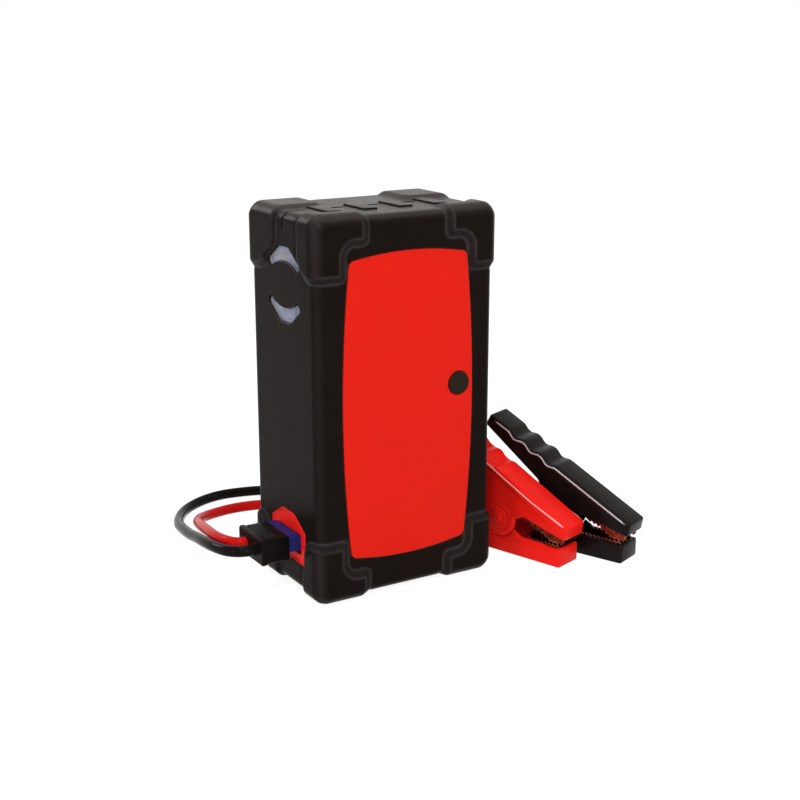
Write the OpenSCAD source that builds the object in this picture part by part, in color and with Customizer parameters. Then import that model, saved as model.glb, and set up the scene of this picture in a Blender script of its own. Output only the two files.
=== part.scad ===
// Lithium jump starter pack: a tall battery case with a side lamp and a side
// socket, and its plug-in lead set with a black and a red spring clamp.
// Millimetres. Origin: centre of the case's footprint, on the floor. +Z up,
// the red panel faces -Y, the lamp and the socket are in the -X wall.

/* [Case] */
// Width over the corner guards
case_w = 124; // [112:1:140]
// Depth over the corner guards
case_d = 87; // [82:1:100]
// Height over the corner guards
case_h = 230; // [224:1:250]
// Wall thickness of both shells
wall = 3; // [2.4:0.1:3.6]
// Depth position of the joint between the shells
seam_y = -2; // [-4:0.5:2]
// Height of the raised tongues over the seam
tongue_h = 1; // [0.6:0.1:1.6]
// Width of a tongue
tongue_w = 9; // [6:0.5:12]
// Length of a tongue across the seam
tongue_l = 26; // [18:1:32]
// Distance between tongues
tongue_pitch = 23.7; // [16:0.1:26]

/* [Corner guards] */
// How far the guards stand proud of the walls
guard_t = 2.2; // [1.6:0.1:3]
// Edge radius of the guards
guard_r = 9; // [6:0.5:10]
// Reach of a guard along the front, beside the lid and floor
guard_long = 35.5; // [30:0.5:42]
// Height of that reach
guard_low = 18.5; // [14:0.5:21]
// Reach of a guard along the front, beside the side wall
guard_short = 16; // [12:0.5:17.5]
// Height of a guard up the corner
guard_high = 37.5; // [30:0.5:44]
// Reach of a guard along the side wall
guard_side = 25; // [18:0.5:30]
// Reach of a guard over the lid
guard_lid = 18; // [14:0.5:24]

/* [Front panel] */
// Margin beside the red panel at mid height
panel_margin_x = 18; // [17:0.5:22]
// Margin above and below the red panel at mid width
panel_margin_z = 23.5; // [23:0.5:30]
// Shift of the panel away from the lamp side
panel_x = 0.8; // [0:0.1:1.5]
// How much the long edges bulge
panel_bulge_x = 4.5; // [2:0.1:6]
// How much the short edges bulge
panel_bulge_z = 3.2; // [1:0.1:5]
// Corner radius of the panel
panel_r = 4; // [2:0.5:8]
// Thickness of the panel
panel_t = 1.2; // [0.8:0.1:1.6]
// Depth of the pocket that the panel sits in
panel_pocket = 0.8; // [0.4:0.1:1.2]

/* [Power button] */
// Diameter of the button cap
button_d = 14.2; // [10:0.1:16]
// Button centre, from the side face opposite the lamp
button_inset = 27; // [27:0.5:38]
// Button centre, above the middle of the case
button_rise = 9; // [-5:1:30]
// Travel of the button
button_travel = 1.2; // [0.8:0.1:1.5]
// Clearance around the button cap
button_gap = 0.2; // [0.1:0.05:0.4]

/* [Lamp] */
// Lamp centre, below the top of the case
lamp_drop = 44; // [42:0.5:50]
// Half height of the lamp window
lamp_half_h = 22.2; // [18:0.1:24]
// Half width of the lamp window
lamp_half_w = 19.8; // [16:0.1:22]
// Half height of the dark band between the two lights
lamp_band = 13.3; // [10:0.1:15]
// Radius of the band's curved edges
lamp_band_r = 29; // [24:1:60]
// How deep the lens lies in its window
lens_recess = 1.2; // [0.6:0.1:1.6]
// Depth of the reflector behind the wall
reflector_l = 11; // [8:0.5:14]

/* [Output socket] */
// Width of the recess in the side wall
recess_w = 44; // [40:1:46]
// Height of the recess
recess_h = 30; // [26:1:32]
// Bottom of the recess above the floor
recess_z = 19; // [17:1:22]
// Depth of the recess
recess_l = 1; // [1:0.5:8]
// Height of the contact pins above the bottom of the recess
socket_rise = 12; // [11:0.5:14]
// Depth of the socket cavity behind the recess floor
socket_depth = 14; // [13:0.5:18]
// Diameter of a socket pin
pin_d = 5; // [4:0.1:6]
// Distance between the two pins
pin_pitch = 14; // [13:0.5:16]

/* [Plug] */
// Wall of the plug hood beside the insert
hood_side = 1.25; // [1:0.05:3]
// Wall of the plug hood over and under the insert
hood_cover = 1.5; // [1:0.1:3]
// Length of the plug hood
hood_l = 18; // [16:0.5:26]
// Blue length that shows between the wall and the hood
insert_show = 7; // [5:0.5:10]
// Width of the blue insert
insert_w = 29.5; // [26:0.5:30]
// Height of the blue insert
insert_h = 12; // [10:0.5:12.5]
// Length of the insert inside the socket
insert_in = 12; // [8:0.5:12.5]

/* [Leads] */
// Outer diameter of both cables
cable_d = 6.8; // [5:0.1:7.2]

/* [Clamps] */
// Thickness of a clamp
clamp_w = 20; // [19:0.5:24]
// Wall thickness of the clamp halves
clamp_wall = 2.2; // [1.6:0.1:2.4]
// Length of the lower handle and jaw
clamp_l = 110; // [100:1:111]
// Pivot distance from the lower nose
pivot_s = 48.5; // [47:0.5:50]
// Pivot height above the clamp's sole
pivot_z = 22.5; // [21.5:0.5:24]
// Radius of the pivot ears
ear_r = 12.5; // [11:0.5:13]
// Diameter of the pivot pin
pivot_d = 5; // [4:0.1:6]
// Running clearance of the pivot pin, on the radius
pivot_gap = 0.05; // [0.02:0.01:0.1]
// Thickness of the copper jaws
copper_t = 1.2; // [0.8:0.1:1.4]
// Distance between teeth
tooth_pitch = 3; // [2:0.5:4]
// Depth of the teeth
tooth_depth = 1.6; // [0.8:0.1:2]

/* [Battery] */
// Cells in each half of the stack
cells_half = 4; // [2:1:6]
// Underside of the battery frame above the floor
frame_z = 62; // [56:1:80]
// Wall thickness of the battery frame
frame_wall = 3; // [2:0.5:4]
// Thickness of the foam between the halves
foam_t = 1; // [0.6:0.1:3]

/* [Hidden] */
$fn = 64;

small = 0.01;
fit_gap = 0.15;
snug_gap = 0.1;

// Case walls, inside the guards
body_w = case_w - 2 * guard_t;
body_d = case_d - 2 * guard_t;
body_h = case_h - 2 * guard_t;
body_r = guard_r - guard_t;
side_x = body_w / 2;
front_y = -body_d / 2;
rear_y = body_d / 2;
lid_z = case_h - guard_t;
inner_x = side_x - wall;
inner_front = front_y + wall;
inner_rear = rear_y - wall;
inner_floor = guard_t + wall;
inner_lid = lid_z - wall;

// Seal in the joint between the shells
seal_t = 1.2;
seal_inset = (wall - seal_t) / 2;

// Screws that pull the rear shell onto the front one
screw_d = 3;
screw_head_d = 6;
screw_head_l = 2.4;
screw_l = 20;
screw_seat = seam_y + 8;
post_r = 4.8;
post_x = inner_x - post_r - 0.4;
post_zs = [inner_floor + post_r + 0.5, case_h / 2, inner_lid - post_r - 0.5];

// Panel and button
panel_w = case_w - 2 * panel_margin_x;
panel_h = case_h - 2 * panel_margin_z;
panel_z = case_h / 2;
button_x = case_w / 2 - button_inset;
button_z = case_h / 2 + button_rise;
panel_back = front_y + panel_pocket;
panel_front = panel_back - panel_t;
button_proud = 1.1;
button_front = panel_front - button_proud;
flange_r = button_d / 2 + 1.6;
flange_t = 1.2;
stem_r = 2.6;
board_t = 1.6;
control_y = inner_front + 8;
dome_h = button_travel + 1.8;
stem_end = control_y - dome_h;

// Lamp
lamp_z = case_h - lamp_drop;
lamp_rim = 1.6;
led_w = 4;
led_pitch = 12;
lamp_back = -inner_x + reflector_l;
lens_face = -side_x + lens_recess;
reflector_wall = 1.4;
lamp_board_t = 1.6;

// Socket and recess
tray_t = 2;
tray_flange_t = 1.2;
tray_face = -side_x + recess_l;
tray_back = max(tray_face + tray_t, -inner_x + tray_flange_t);
socket_z = recess_z + socket_rise;
socket_rim = 6;
socket_wall = 2.2;
socket_lip = 1.2;
socket_back = tray_face + socket_depth + 4;
insert_gap = 0.25;
sleeve_gap = 0.06;
sleeve_t = 0.8;
plug_y = seam_y + 1;

// Plug
hood_w = insert_w + 2 * hood_side;
hood_h = insert_h + 2 * hood_cover;
hood_front = -side_x - insert_show;
hood_rear = hood_front - hood_l;
insert_tip = tray_face + insert_in;
insert_root = hood_front - hood_l * 0.55;

// Battery frame and cells: between the posts, behind the control board, under the lamp
frame_w = 2 * (post_x - post_r - 0.8);
frame_front = control_y + board_t + 2;
frame_lid = lamp_z - lamp_half_h - lamp_rim - 4;
cell_w = frame_w - 2;
cell_t = (inner_rear - frame_front - 2 * frame_wall - foam_t - 4 * snug_gap)
    / (2 * cells_half);
cells_front_y = frame_front + frame_wall + snug_gap;
foam_y = cells_front_y + cells_half * cell_t + snug_gap;
cells_rear_y = foam_y + foam_t + snug_gap;
cells_z = frame_z + frame_wall;
frame_top = frame_lid - frame_wall;
cells_top = frame_top - snug_gap;
link_t = 1;
link_w = 12;

// Main board on the frame, and the parts on it
main_x = lamp_back + lamp_board_t + 2;
main_end = frame_w / 2 - 1;
main_z = frame_lid + 3;
parts_z = main_z + board_t;
board_edge = 8;
relay = [28, 22, 20];
mosfet = [7, 10, 4];
mosfet_gap = 2;
mosfets_x = main_x + relay[0] + 2 * board_edge;
capacitor_r = 8;
capacitor_h = 22;

// Bars and fuse between the socket pins and the battery
bar_t = 2;
bar_w = 7;
riser_x = socket_back + 4;
fuse = [34, 14, 16];
fuse_tab = [5, 10, 3];
fuse_x = riser_x + bar_t + fuse_tab[0] + 1;
fuse_y = inner_rear - fuse[1] - board_edge;

// Clamp half outlines, as (distance from the nose, height)
half_w = clamp_w / 2;
inner_w = half_w - clamp_wall;
side_gap = 0.2;
ear_gap = 0.4;
ear_in = inner_w - side_gap - clamp_wall;
boss_h = 0.5;
pivot = [pivot_s, pivot_z];
handle_root = pivot_s + 11.5;
mouth_root = pivot_s - 17.5;
lower_tail_z = 6.5;
lower_root_z = pivot_z - 5.7;
jaw_top = 10.5;

// Ridge of the upper half, its roof and the finger waves in it
ridge_a = [-4.7, 27.3];
ridge_slope = 27.4;
ridge_l = 118.5;
tail_h = 8.5;
ridge_dir = [cos(ridge_slope), sin(ridge_slope)];
ridge_in = [sin(ridge_slope), -cos(ridge_slope)];
ridge_b = ridge_a + ridge_l * ridge_dir;
upper_tail = ridge_b + tail_h * ridge_in;
roof_t = 4.2;
roof_a = ridge_a + roof_t * ridge_in;
function roof(s) = roof_a[1] + (s - roof_a[0]) * tan(ridge_slope);
wave_places = [67, 81.2, 95.4];
wave_depth = 2;
wave_r = 10;

// Copper jaws
jaw_out = inner_w - side_gap;
jaw_in = jaw_out - copper_t;
jaw_start = -3 + clamp_wall;
bite_z = 14.5;
bite_gap = 0.3;
lower_jaw_start = clamp_wall + 0.2;
lower_jaw_end = mouth_root + 3;
upper_jaw_end = mouth_root - 3;
upper_line = [[9, bite_z + bite_gap / 2], [17.5, 20], [upper_jaw_end, 23.4]];

// Torsion spring of a clamp, in the clamp's side view
spring_wire = 1.8;
coil_r = pivot_d / 2 + 0.3 + spring_wire / 2;
coil_pitch = spring_wire + 0.15;
arm_up = 54;
arm_down = 8;
coil_turn = 180 - arm_up - arm_down + 3 * 360;
coil_steps = 60;
coil_half = coil_pitch * coil_turn / 360 / 2;
function coil_point(a) = pivot + coil_r * [cos(a), sin(a)];
arm_l = ((coil_point(90 + arm_up) - roof_a) * ridge_in - spring_wire / 2 - snug_gap)
    / sin(arm_up - ridge_slope);
arm_tip = coil_point(90 + arm_up) + arm_l * [cos(arm_up), sin(arm_up)];
bridge_s = handle_root + 2.5;
arm_rest = coil_point(-90 - arm_down);
bridge_top = arm_rest[1] - (bridge_s - arm_rest[0]) * tan(arm_down)
    - spring_wire / 2 / cos(arm_down) - 0.4;
spring_route = concat(
    [for (p = [arm_tip + 8 * ridge_dir, arm_tip]) [p[0], coil_half, p[1]]],
    [
        for (i = [0:coil_steps]) let (
            f = i / coil_steps,
            p = coil_point(90 + arm_up + f * coil_turn)
        ) [p[0], coil_half * (1 - 2 * f), p[1]]
    ],
    [for (p = [arm_rest + 19 * [cos(arm_down), -sin(arm_down)]]) [p[0], -coil_half, p[1]]]
);

// Clamp places on the floor: nose centre x, y and heading of the handles
red_pose = [106.5, -62, 108];
black_pose = [144, -76, 112];

// Cable lug inside the lower handle
jaw_floor = clamp_wall + snug_gap;
tang_w = 9;
tang_l = pivot_s + 22;
lug_r = cable_d / 2 + 1;
lug_z = jaw_floor + copper_t + lug_r;
lug_s = tang_l - 1;
lug_l = 13;

// Cable routes, from the plug over the floor and into the clamps' lower handles
lie_z = cable_d / 2 + 0.1;
tail_z = clamp_wall + cable_d / 2 + 0.2;
function on_clamp(pose, s, z) = [pose[0] + s * cos(pose[2]), pose[1] + s * sin(pose[2]), z];
function into_clamp(pose) = [
    on_clamp(pose, clamp_l + 20, lie_z), on_clamp(pose, clamp_l + 10, lie_z + 1.2),
    on_clamp(pose, clamp_l + 1, tail_z), on_clamp(pose, clamp_l - 8, tail_z + 0.8),
    on_clamp(pose, lug_s + lug_l + 8, lug_z), on_clamp(pose, lug_s + lug_l, lug_z)
];
black_route = concat(
    [[hood_rear, plug_y - pin_pitch / 2, socket_z], [hood_rear - 5, plug_y - pin_pitch / 2, socket_z]],
    [
        [-95, -6, 31], [-99, 1, 30], [-101, 14, 28.5], [-100, 32, 25.5],
        [-97, 51, 21.5], [-94, 70, 17], [-90, 90, 13], [-85, 110, 9], [-77, 129, 6],
        [-66, 146, 4], [-51, 158, 3.5], [-33, 164, 3.5], [-14, 162, 3.5], [4, 156, 3.5],
        [22, 148, 3.5], [40, 137, 3.5], [57, 123, 3.5], [71, 107, 3.5], [82, 90, 3.5],
        [89, 72, 3.5], [93, 56, 3.5]
    ],
    into_clamp(black_pose)
);
red_route = concat(
    [[hood_rear, plug_y + pin_pitch / 2, socket_z], [hood_rear - 3, plug_y + pin_pitch / 2, socket_z]],
    [
        [-91.5, 9, 31], [-93, 17, 30], [-92.5, 33, 27.5], [-89, 51, 24],
        [-85, 69, 20], [-80, 87, 15.5], [-74, 104, 11], [-65, 119, 7], [-52, 129, 4.5],
        [-36, 134, 3.5], [-19, 132, 3.5], [-3, 125, 3.5], [12, 115, 3.5], [27, 103, 3.5],
        [41, 91, 3.5], [53, 79, 3.5]
    ],
    into_clamp(red_pose)
);

black = [0.09, 0.09, 0.1];
red = [0.85, 0.1, 0.08];
blue = [0.12, 0.16, 0.55];
copper = [0.78, 0.45, 0.26];
steel = [0.7, 0.71, 0.73];
board_green = [0.1, 0.32, 0.18];
white = [0.9, 0.9, 0.92];

// ---------- shared shapes ----------

module rounded_rect(w, h, r) {
    square([w, h - 2 * r], center = true);
    square([w - 2 * r, h], center = true);
    for (x = [-1, 1], y = [-1, 1])
        translate([x * (w / 2 - r), y * (h / 2 - r)]) circle(r);
}

// Draw a shape in the front view (x, z) and give it depth from y0 to y1.
module front_view(y0, y1) {
    translate([0, y1, 0]) rotate([90, 0, 0]) linear_extrude(y1 - y0) children();
}

// Draw a shape in the side view (y, z) and give it width from x0 to x1.
module side_view(x0, x1) {
    translate([x0, 0, 0]) rotate([90, 0, 90]) linear_extrude(x1 - x0) children();
}

// A box given by its low and high corners.
module span(low, high) {
    translate(low) cube(high - low);
}

// A round bar along X, Y or Z.
module bar_x(x0, x1, r) {
    translate([x0, 0, 0]) rotate([0, 90, 0]) cylinder(h = x1 - x0, r = r);
}

module bar_y(y0, y1, r) {
    translate([0, y0, 0]) rotate([-90, 0, 0]) cylinder(h = y1 - y0, r = r);
}

// A box with round edges, on z = z0.
module rounded_box(w, d, h, r, z0) {
    intersection() {
        translate([0, 0, z0]) linear_extrude(h) rounded_rect(w, d, r);
        front_view(-d / 2, d / 2) translate([0, z0 + h / 2]) rounded_rect(w, h, r);
        side_view(-w / 2, w / 2) translate([0, z0 + h / 2]) rounded_rect(d, h, r);
    }
}

// ---------- case ----------

// One corner of the guards in the front view, drawn from the corner inwards.
module guard_front_corner() {
    square([guard_long, guard_low]);
    square([guard_short, guard_high]);
    difference() {
        square([guard_short + 6, guard_low + 6]);
        translate([guard_short + 6, guard_low + 6]) circle(6);
    }
}

module guard_side_corner() {
    square([guard_side, guard_high - 8]);
    square([guard_side - 8, guard_high]);
    translate([guard_side - 8, guard_high - 8]) circle(8);
}

module guard_lid_corner() {
    square([guard_long, guard_lid]);
    square([guard_short * 0.75, guard_side]);
}

// Repeat a corner shape at the four corners of a w by h rectangle.
module four_corners(w, h) {
    for (x = [-1, 1], y = [-1, 1])
        translate([x * w / 2, y * h / 2])
            mirror([x > 0 ? 1 : 0, 0]) mirror([0, y > 0 ? 1 : 0]) children();
}

module corner_guards() {
    intersection() {
        rounded_box(case_w, case_d, case_h, guard_r, 0);
        front_view(-case_d, case_d) translate([0, case_h / 2])
            four_corners(case_w, case_h) guard_front_corner();
        side_view(-case_w, case_w) translate([0, case_h / 2])
            four_corners(case_d, case_h) guard_side_corner();
        linear_extrude(case_h) four_corners(case_w, case_d) guard_lid_corner();
    }
}

module case_solid() {
    rounded_box(body_w, body_d, body_h, body_r, guard_t);
    corner_guards();
}

module case_cavity() {
    rounded_box(body_w - 2 * wall, body_d - 2 * wall, body_h - 2 * wall, body_r - wall,
        inner_floor);
}

// The upper of the two light windows, in the side view about the lamp's centre.
module light_window(grow = 0) {
    corner_z = lamp_half_h * 0.6;
    tip_z = sqrt(pow(lamp_band_r, 2) - pow(lamp_half_w - 3.3, 2)) - lamp_band_r + lamp_band;
    difference() {
        polygon([
            [-lamp_half_w * 0.35 - grow, lamp_half_h + grow],
            [lamp_half_w * 0.35 + grow, lamp_half_h + grow],
            [lamp_half_w + grow, corner_z + grow / 2],
            [lamp_half_w + grow, tip_z + 3 - grow / 2],
            [lamp_half_w - 3.3, tip_z - grow],
            [3.3 - lamp_half_w, tip_z - grow],
            [-lamp_half_w - grow, tip_z + 3 - grow / 2],
            [-lamp_half_w - grow, corner_z + grow / 2]
        ]);
        translate([0, lamp_band - lamp_band_r]) circle(lamp_band_r - grow);
    }
}

module both_windows(grow = 0) {
    translate([seam_y, lamp_z]) for (m = [0, 1]) mirror([0, m]) light_window(grow);
}

// Outline of the socket recess in the side view.
module recess_outline(grow = 0) {
    half = recess_w / 2 + grow;
    top = recess_z + recess_h + grow;
    translate([plug_y, 0]) polygon([
        [-half, recess_z - grow], [half, recess_z - grow], [half, top - 8.5],
        [half * 0.36, top], [-half * 0.36, top], [-half, top - 8.5]
    ]);
}

// Panel outline about its own centre: long and short edges bulge outwards.
function bulge(a, half) = 1 - pow(a / half, 2);
panel_cx = panel_w / 2 - panel_bulge_x - panel_r;
panel_cz = panel_h / 2 - panel_bulge_z - panel_r;
panel_steps = 10;

function panel_side(sx) = [
    for (i = [-panel_steps + 1:panel_steps - 1]) let (z = sx * i / panel_steps * panel_cz)
        [sx * (panel_cx + panel_r + panel_bulge_x * bulge(z, panel_cz)), z]
];
function panel_end(sz) = [
    for (i = [-panel_steps + 1:panel_steps - 1]) let (x = -sz * i / panel_steps * panel_cx)
        [x, sz * (panel_cz + panel_r + panel_bulge_z * bulge(x, panel_cx))]
];
function panel_corner(sx, sz, start) = [
    for (a = [start:15:start + 90])
        [sx * panel_cx + panel_r * cos(a), sz * panel_cz + panel_r * sin(a)]
];
panel_points = concat(
    panel_side(1), panel_corner(1, 1, 0), panel_end(1), panel_corner(-1, 1, 90),
    panel_side(-1), panel_corner(-1, -1, 180), panel_end(-1), panel_corner(1, -1, 270)
);

module panel_outline(grow = 0) {
    scale_x = (panel_w + 2 * grow) / panel_w;
    scale_z = (panel_h + 2 * grow) / panel_h;
    translate([panel_x, panel_z])
        polygon([for (p = panel_points) [p[0] * scale_x, p[1] * scale_z]]);
}

module button_hole(extra) {
    translate([button_x, 0, button_z]) bar_y(front_y - 5, inner_front + 1, button_d / 2 + extra);
}

module at_posts() {
    for (x = [-post_x, post_x], z = post_zs) translate([x, 0, z]) children();
}

module case_openings() {
    side_view(-side_x - 1, -inner_x + 1) both_windows();
    side_view(-side_x - guard_t - 1, -inner_x + 1) recess_outline();
    front_view(front_y - 1, panel_back) panel_outline(fit_gap);
    button_hole(button_gap);
}

module front_shell() {
    color(black) difference() {
        union() {
            difference() {
                intersection() {
                    case_solid();
                    span([-case_w, -case_d, -1], [case_w, seam_y, case_h + 1]);
                }
                case_cavity();
            }
            at_posts() bar_y(inner_front - small, seam_y, post_r);
            control_posts();
            seam_tongues();
        }
        case_openings();
        at_posts() bar_y(screw_seat - screw_l - 1, seam_y + 1, screw_d / 2);
    }
}

module seam_tongues() {
    for (i = [-1.5:1:1.5])
        span([i * tongue_pitch - tongue_w / 2, seam_y - tongue_l / 2, lid_z - small],
            [i * tongue_pitch + tongue_w / 2, seam_y, lid_z + tongue_h]);
    for (i = [-1.5:1:1.5])
        span([i * tongue_pitch - tongue_w / 2, seam_y - small, lid_z],
            [i * tongue_pitch + tongue_w / 2, seam_y + tongue_l / 2, lid_z + tongue_h]);
}

module rear_shell() {
    color(black) difference() {
        union() {
            difference() {
                intersection() {
                    case_solid();
                    span([-case_w, seam_y, -1], [case_w, case_d, case_h + 1]);
                }
                case_cavity();
            }
            at_posts() bar_y(seam_y, inner_rear + small, post_r);
        }
        case_openings();
        seal_ring(seam_y - 1, seam_y + seal_t);
        at_posts() bar_y(seam_y - 1, rear_y + 1, screw_d / 2 + fit_gap);
        at_posts() bar_y(screw_seat, rear_y + 1, screw_head_d / 2 + fit_gap);
    }
}

// Square ring in the middle of the wall, broken where the wall opens.
module seal_ring(y0, y1) {
    difference() {
        front_view(y0, y1) translate([0, guard_t + body_h / 2]) difference() {
            rounded_rect(body_w - 2 * seal_inset, body_h - 2 * seal_inset, body_r - seal_inset);
            rounded_rect(body_w - 2 * seal_inset - 2 * seal_t,
                body_h - 2 * seal_inset - 2 * seal_t, body_r - seal_inset - seal_t);
        }
        span([-case_w, y0 - 1, lamp_z - lamp_half_h - 2],
            [-inner_x + 1, y1 + 1, lamp_z + lamp_half_h + 2]);
        span([-case_w, y0 - 1, recess_z - 2], [-inner_x + 1, y1 + 1, recess_z + recess_h + 2]);
    }
}

module case_seal() {
    color([0.2, 0.2, 0.2]) seal_ring(seam_y, seam_y + seal_t);
}

module case_screws() {
    head_end = screw_seat + screw_head_l;
    color(steel) at_posts() difference() {
        union() {
            bar_y(screw_seat, head_end, screw_head_d / 2);
            bar_y(screw_seat - screw_l, screw_seat + small, screw_d / 2);
        }
        translate([0, head_end, 0]) for (a = [0, 90]) rotate([0, a, 0])
            cube([screw_head_d * 0.6, 2.4, 0.9], center = true);
    }
}

module front_panel() {
    color(red) difference() {
        front_view(panel_front, panel_back) panel_outline();
        button_hole(button_gap);
    }
}

// ---------- power button ----------

module power_button() {
    color(black) translate([button_x, 0, button_z]) {
        bar_y(button_front, inner_front + small, button_d / 2);
        bar_y(inner_front, inner_front + flange_t, flange_r);
        bar_y(inner_front + flange_t - small, stem_end, stem_r);
    }
}

module switch_dome() {
    color(white) translate([button_x, 0, button_z]) rotate([-90, 0, 0])
        rotate_extrude() polygon([
            [0, stem_end], [stem_r, stem_end], [stem_r + 2, control_y],
            [stem_r + 0.8, control_y], [stem_r - 0.8, stem_end + 0.8], [0, stem_end + 0.8]
        ]);
}

control_w = 34;
control_h = 60;
control_low = button_z - 40;
control_x = button_x - 10;
control_posts_at = [
    for (x = [-1, 1], z = [4, control_h - 4])
        [control_x + x * (control_w / 2 - 4), control_low + z]
];

module control_posts() {
    for (p = control_posts_at)
        translate([p[0], 0, p[1]]) bar_y(inner_front - small, control_y, 2.5);
}

module control_board() {
    color(board_green)
        span([control_x - control_w / 2, control_y, control_low],
            [control_x + control_w / 2, control_y + board_t, control_low + control_h]);
    color(black)
        span([control_x - 12, control_y + board_t, control_low + 6],
            [control_x, control_y + board_t + 1.6, control_low + 18]);
}

// ---------- lamp ----------

module lamp_box(grow) {
    translate([seam_y, lamp_z])
        square([2 * (lamp_half_w + grow), 2 * (lamp_half_h + grow)], center = true);
}

module lamp_lens() {
    color([0.85, 0.88, 0.92, 0.5]) {
        side_view(lens_face, -inner_x + small) both_windows(-fit_gap);
        side_view(-inner_x, -inner_x + reflector_wall) lamp_box(lamp_rim);
    }
}

module lamp_reflector() {
    color(white) difference() {
        side_view(-inner_x + reflector_wall, lamp_back) lamp_box(lamp_rim);
        side_view(-inner_x, lamp_back - reflector_wall) both_windows(-0.6);
        side_view(lamp_back - 2 * reflector_wall, lamp_back + 1)
            led_places() square(led_w + 1, center = true);
    }
}

// Two chips behind each light window.
module led_places() {
    for (y = [-led_pitch / 2, led_pitch / 2], m = [-1, 1])
        translate([seam_y + y, lamp_z + m * (lamp_half_h + lamp_band) / 2]) children();
}

module lamp_leds() {
    color([0.95, 0.9, 0.55])
        side_view(lamp_back - 1, lamp_back) led_places() square(led_w, center = true);
}

module lamp_board() {
    color(board_green) side_view(lamp_back, lamp_back + lamp_board_t) lamp_box(lamp_rim);
}

// ---------- output socket ----------

module socket_tray() {
    color(red) difference() {
        union() {
            side_view(-side_x + 0.3, tray_back) recess_outline(-fit_gap);
            side_view(-inner_x, -inner_x + tray_flange_t) recess_outline(1.8);
        }
        side_view(-side_x - 1, tray_face) recess_outline(-fit_gap - 1.2);
        socket_block(-side_x - 1, tray_back + 1, fit_gap);
    }
}

module socket_block(x0, x1, grow) {
    w = insert_w + 2 * (insert_gap + socket_wall + grow);
    h = insert_h + 2 * (insert_gap + socket_wall + grow);
    translate([0, plug_y, socket_z]) side_view(x0, x1) square([w, h], center = true);
}

module at_pins() {
    for (y = [-pin_pitch / 2, pin_pitch / 2]) translate([0, plug_y + y, socket_z]) children();
}

module socket_body() {
    color(blue) difference() {
        socket_block(tray_face - socket_lip, socket_back, 0);
        translate([0, plug_y, socket_z])
            side_view(tray_face - socket_lip - 1, tray_face + socket_depth)
                square([insert_w + 2 * insert_gap, insert_h + 2 * insert_gap], center = true);
        at_pins() bar_x(tray_face, socket_back + 1, pin_d / 2);
    }
    // Rear flange that the two shells trap
    color(blue) difference() {
        translate([0, plug_y, socket_z]) side_view(tray_back, tray_back + tray_t)
            square([insert_w + 2 * socket_rim, insert_h + 2 * socket_rim], center = true);
        socket_block(tray_face, socket_back, 0);
    }
}

module socket_pins() {
    color(copper) at_pins() bar_x(tray_face + 1.5, socket_back + 6, pin_d / 2);
}

// ---------- battery and electronics ----------

module battery_frame() {
    color([0.25, 0.25, 0.27]) difference() {
        union() {
            span([-frame_w / 2, frame_front, frame_z], [frame_w / 2, inner_rear, cells_z]);
            span([-frame_w / 2, frame_front, frame_top],
                [frame_w / 2, inner_rear, frame_top + frame_wall]);
            for (y = [frame_front, inner_rear - frame_wall])
                span([-frame_w / 2, y, frame_z],
                    [frame_w / 2, y + frame_wall, frame_top + frame_wall]);
        }
        at_links() cube([link_w + 2, cells_half * cell_t + 1, 3 * frame_wall], center = true);
    }
}

module cell_stack(y0) {
    for (i = [0:cells_half - 1])
        span([-cell_w / 2, y0 + i * cell_t, cells_z],
            [cell_w / 2, y0 + (i + 1) * cell_t - snug_gap, cells_top]);
}

module battery_cells_front() {
    color([0.35, 0.45, 0.6]) cell_stack(cells_front_y);
}

module battery_cells_rear() {
    color([0.35, 0.45, 0.6]) cell_stack(cells_rear_y);
}

module cell_foam() {
    color([0.3, 0.3, 0.3])
        span([-cell_w / 2, foam_y, cells_z], [cell_w / 2, foam_y + foam_t, cells_top]);
}

// The four places where a link lies on the cell tops.
module at_links() {
    for (x = [-cell_w / 4, cell_w / 4], y = [cells_front_y, cells_rear_y])
        translate([x, y + cells_half * cell_t / 2, cells_top]) children();
}

module cell_links() {
    color(copper) at_links()
        translate([0, 0, link_t / 2])
            cube([link_w, cells_half * cell_t - 2, link_t], center = true);
}

module main_board() {
    color(board_green)
        span([main_x, frame_front + 2, main_z], [main_end, inner_rear - 2, parts_z]);
    color(steel) for (x = [main_x + 4, main_end - 4], y = [frame_front + 6, inner_rear - 6])
        translate([x, y, frame_lid]) cylinder(h = main_z - frame_lid, r = 2.5);
}

module power_relay() {
    low = [main_x + board_edge, frame_front + board_edge, parts_z];
    color(black) span(low, low + relay);
}

module power_mosfets() {
    color([0.15, 0.15, 0.16]) for (i = [0:3])
        translate([mosfets_x + i * (mosfet[0] + mosfet_gap), frame_front + board_edge, parts_z])
            cube(mosfet);
}

module filter_capacitor() {
    color([0.2, 0.22, 0.3])
        translate([mosfets_x + capacitor_r, inner_rear - capacitor_r - board_edge, parts_z])
            cylinder(h = capacitor_h, r = capacitor_r);
}

module output_bars() {
    color(copper) difference() {
        for (y = [-pin_pitch / 2, pin_pitch / 2])
            translate([0, plug_y + y, 0])
                span([riser_x, -bar_w / 2, socket_z - 5], [riser_x + bar_t, bar_w / 2, frame_z]);
        at_pins() bar_x(riser_x - 1, riser_x + bar_t + 1, pin_d / 2);
    }
}

module main_fuse() {
    color(white) translate([fuse_x, fuse_y, frame_z - fuse[2]]) cube(fuse);
    color(copper) for (x = [fuse_x - fuse_tab[0], fuse_x + fuse[0]])
        translate([x, fuse_y + (fuse[1] - fuse_tab[1]) / 2, frame_z - fuse_tab[2]])
            cube(fuse_tab);
}

// ---------- plug ----------

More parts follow.
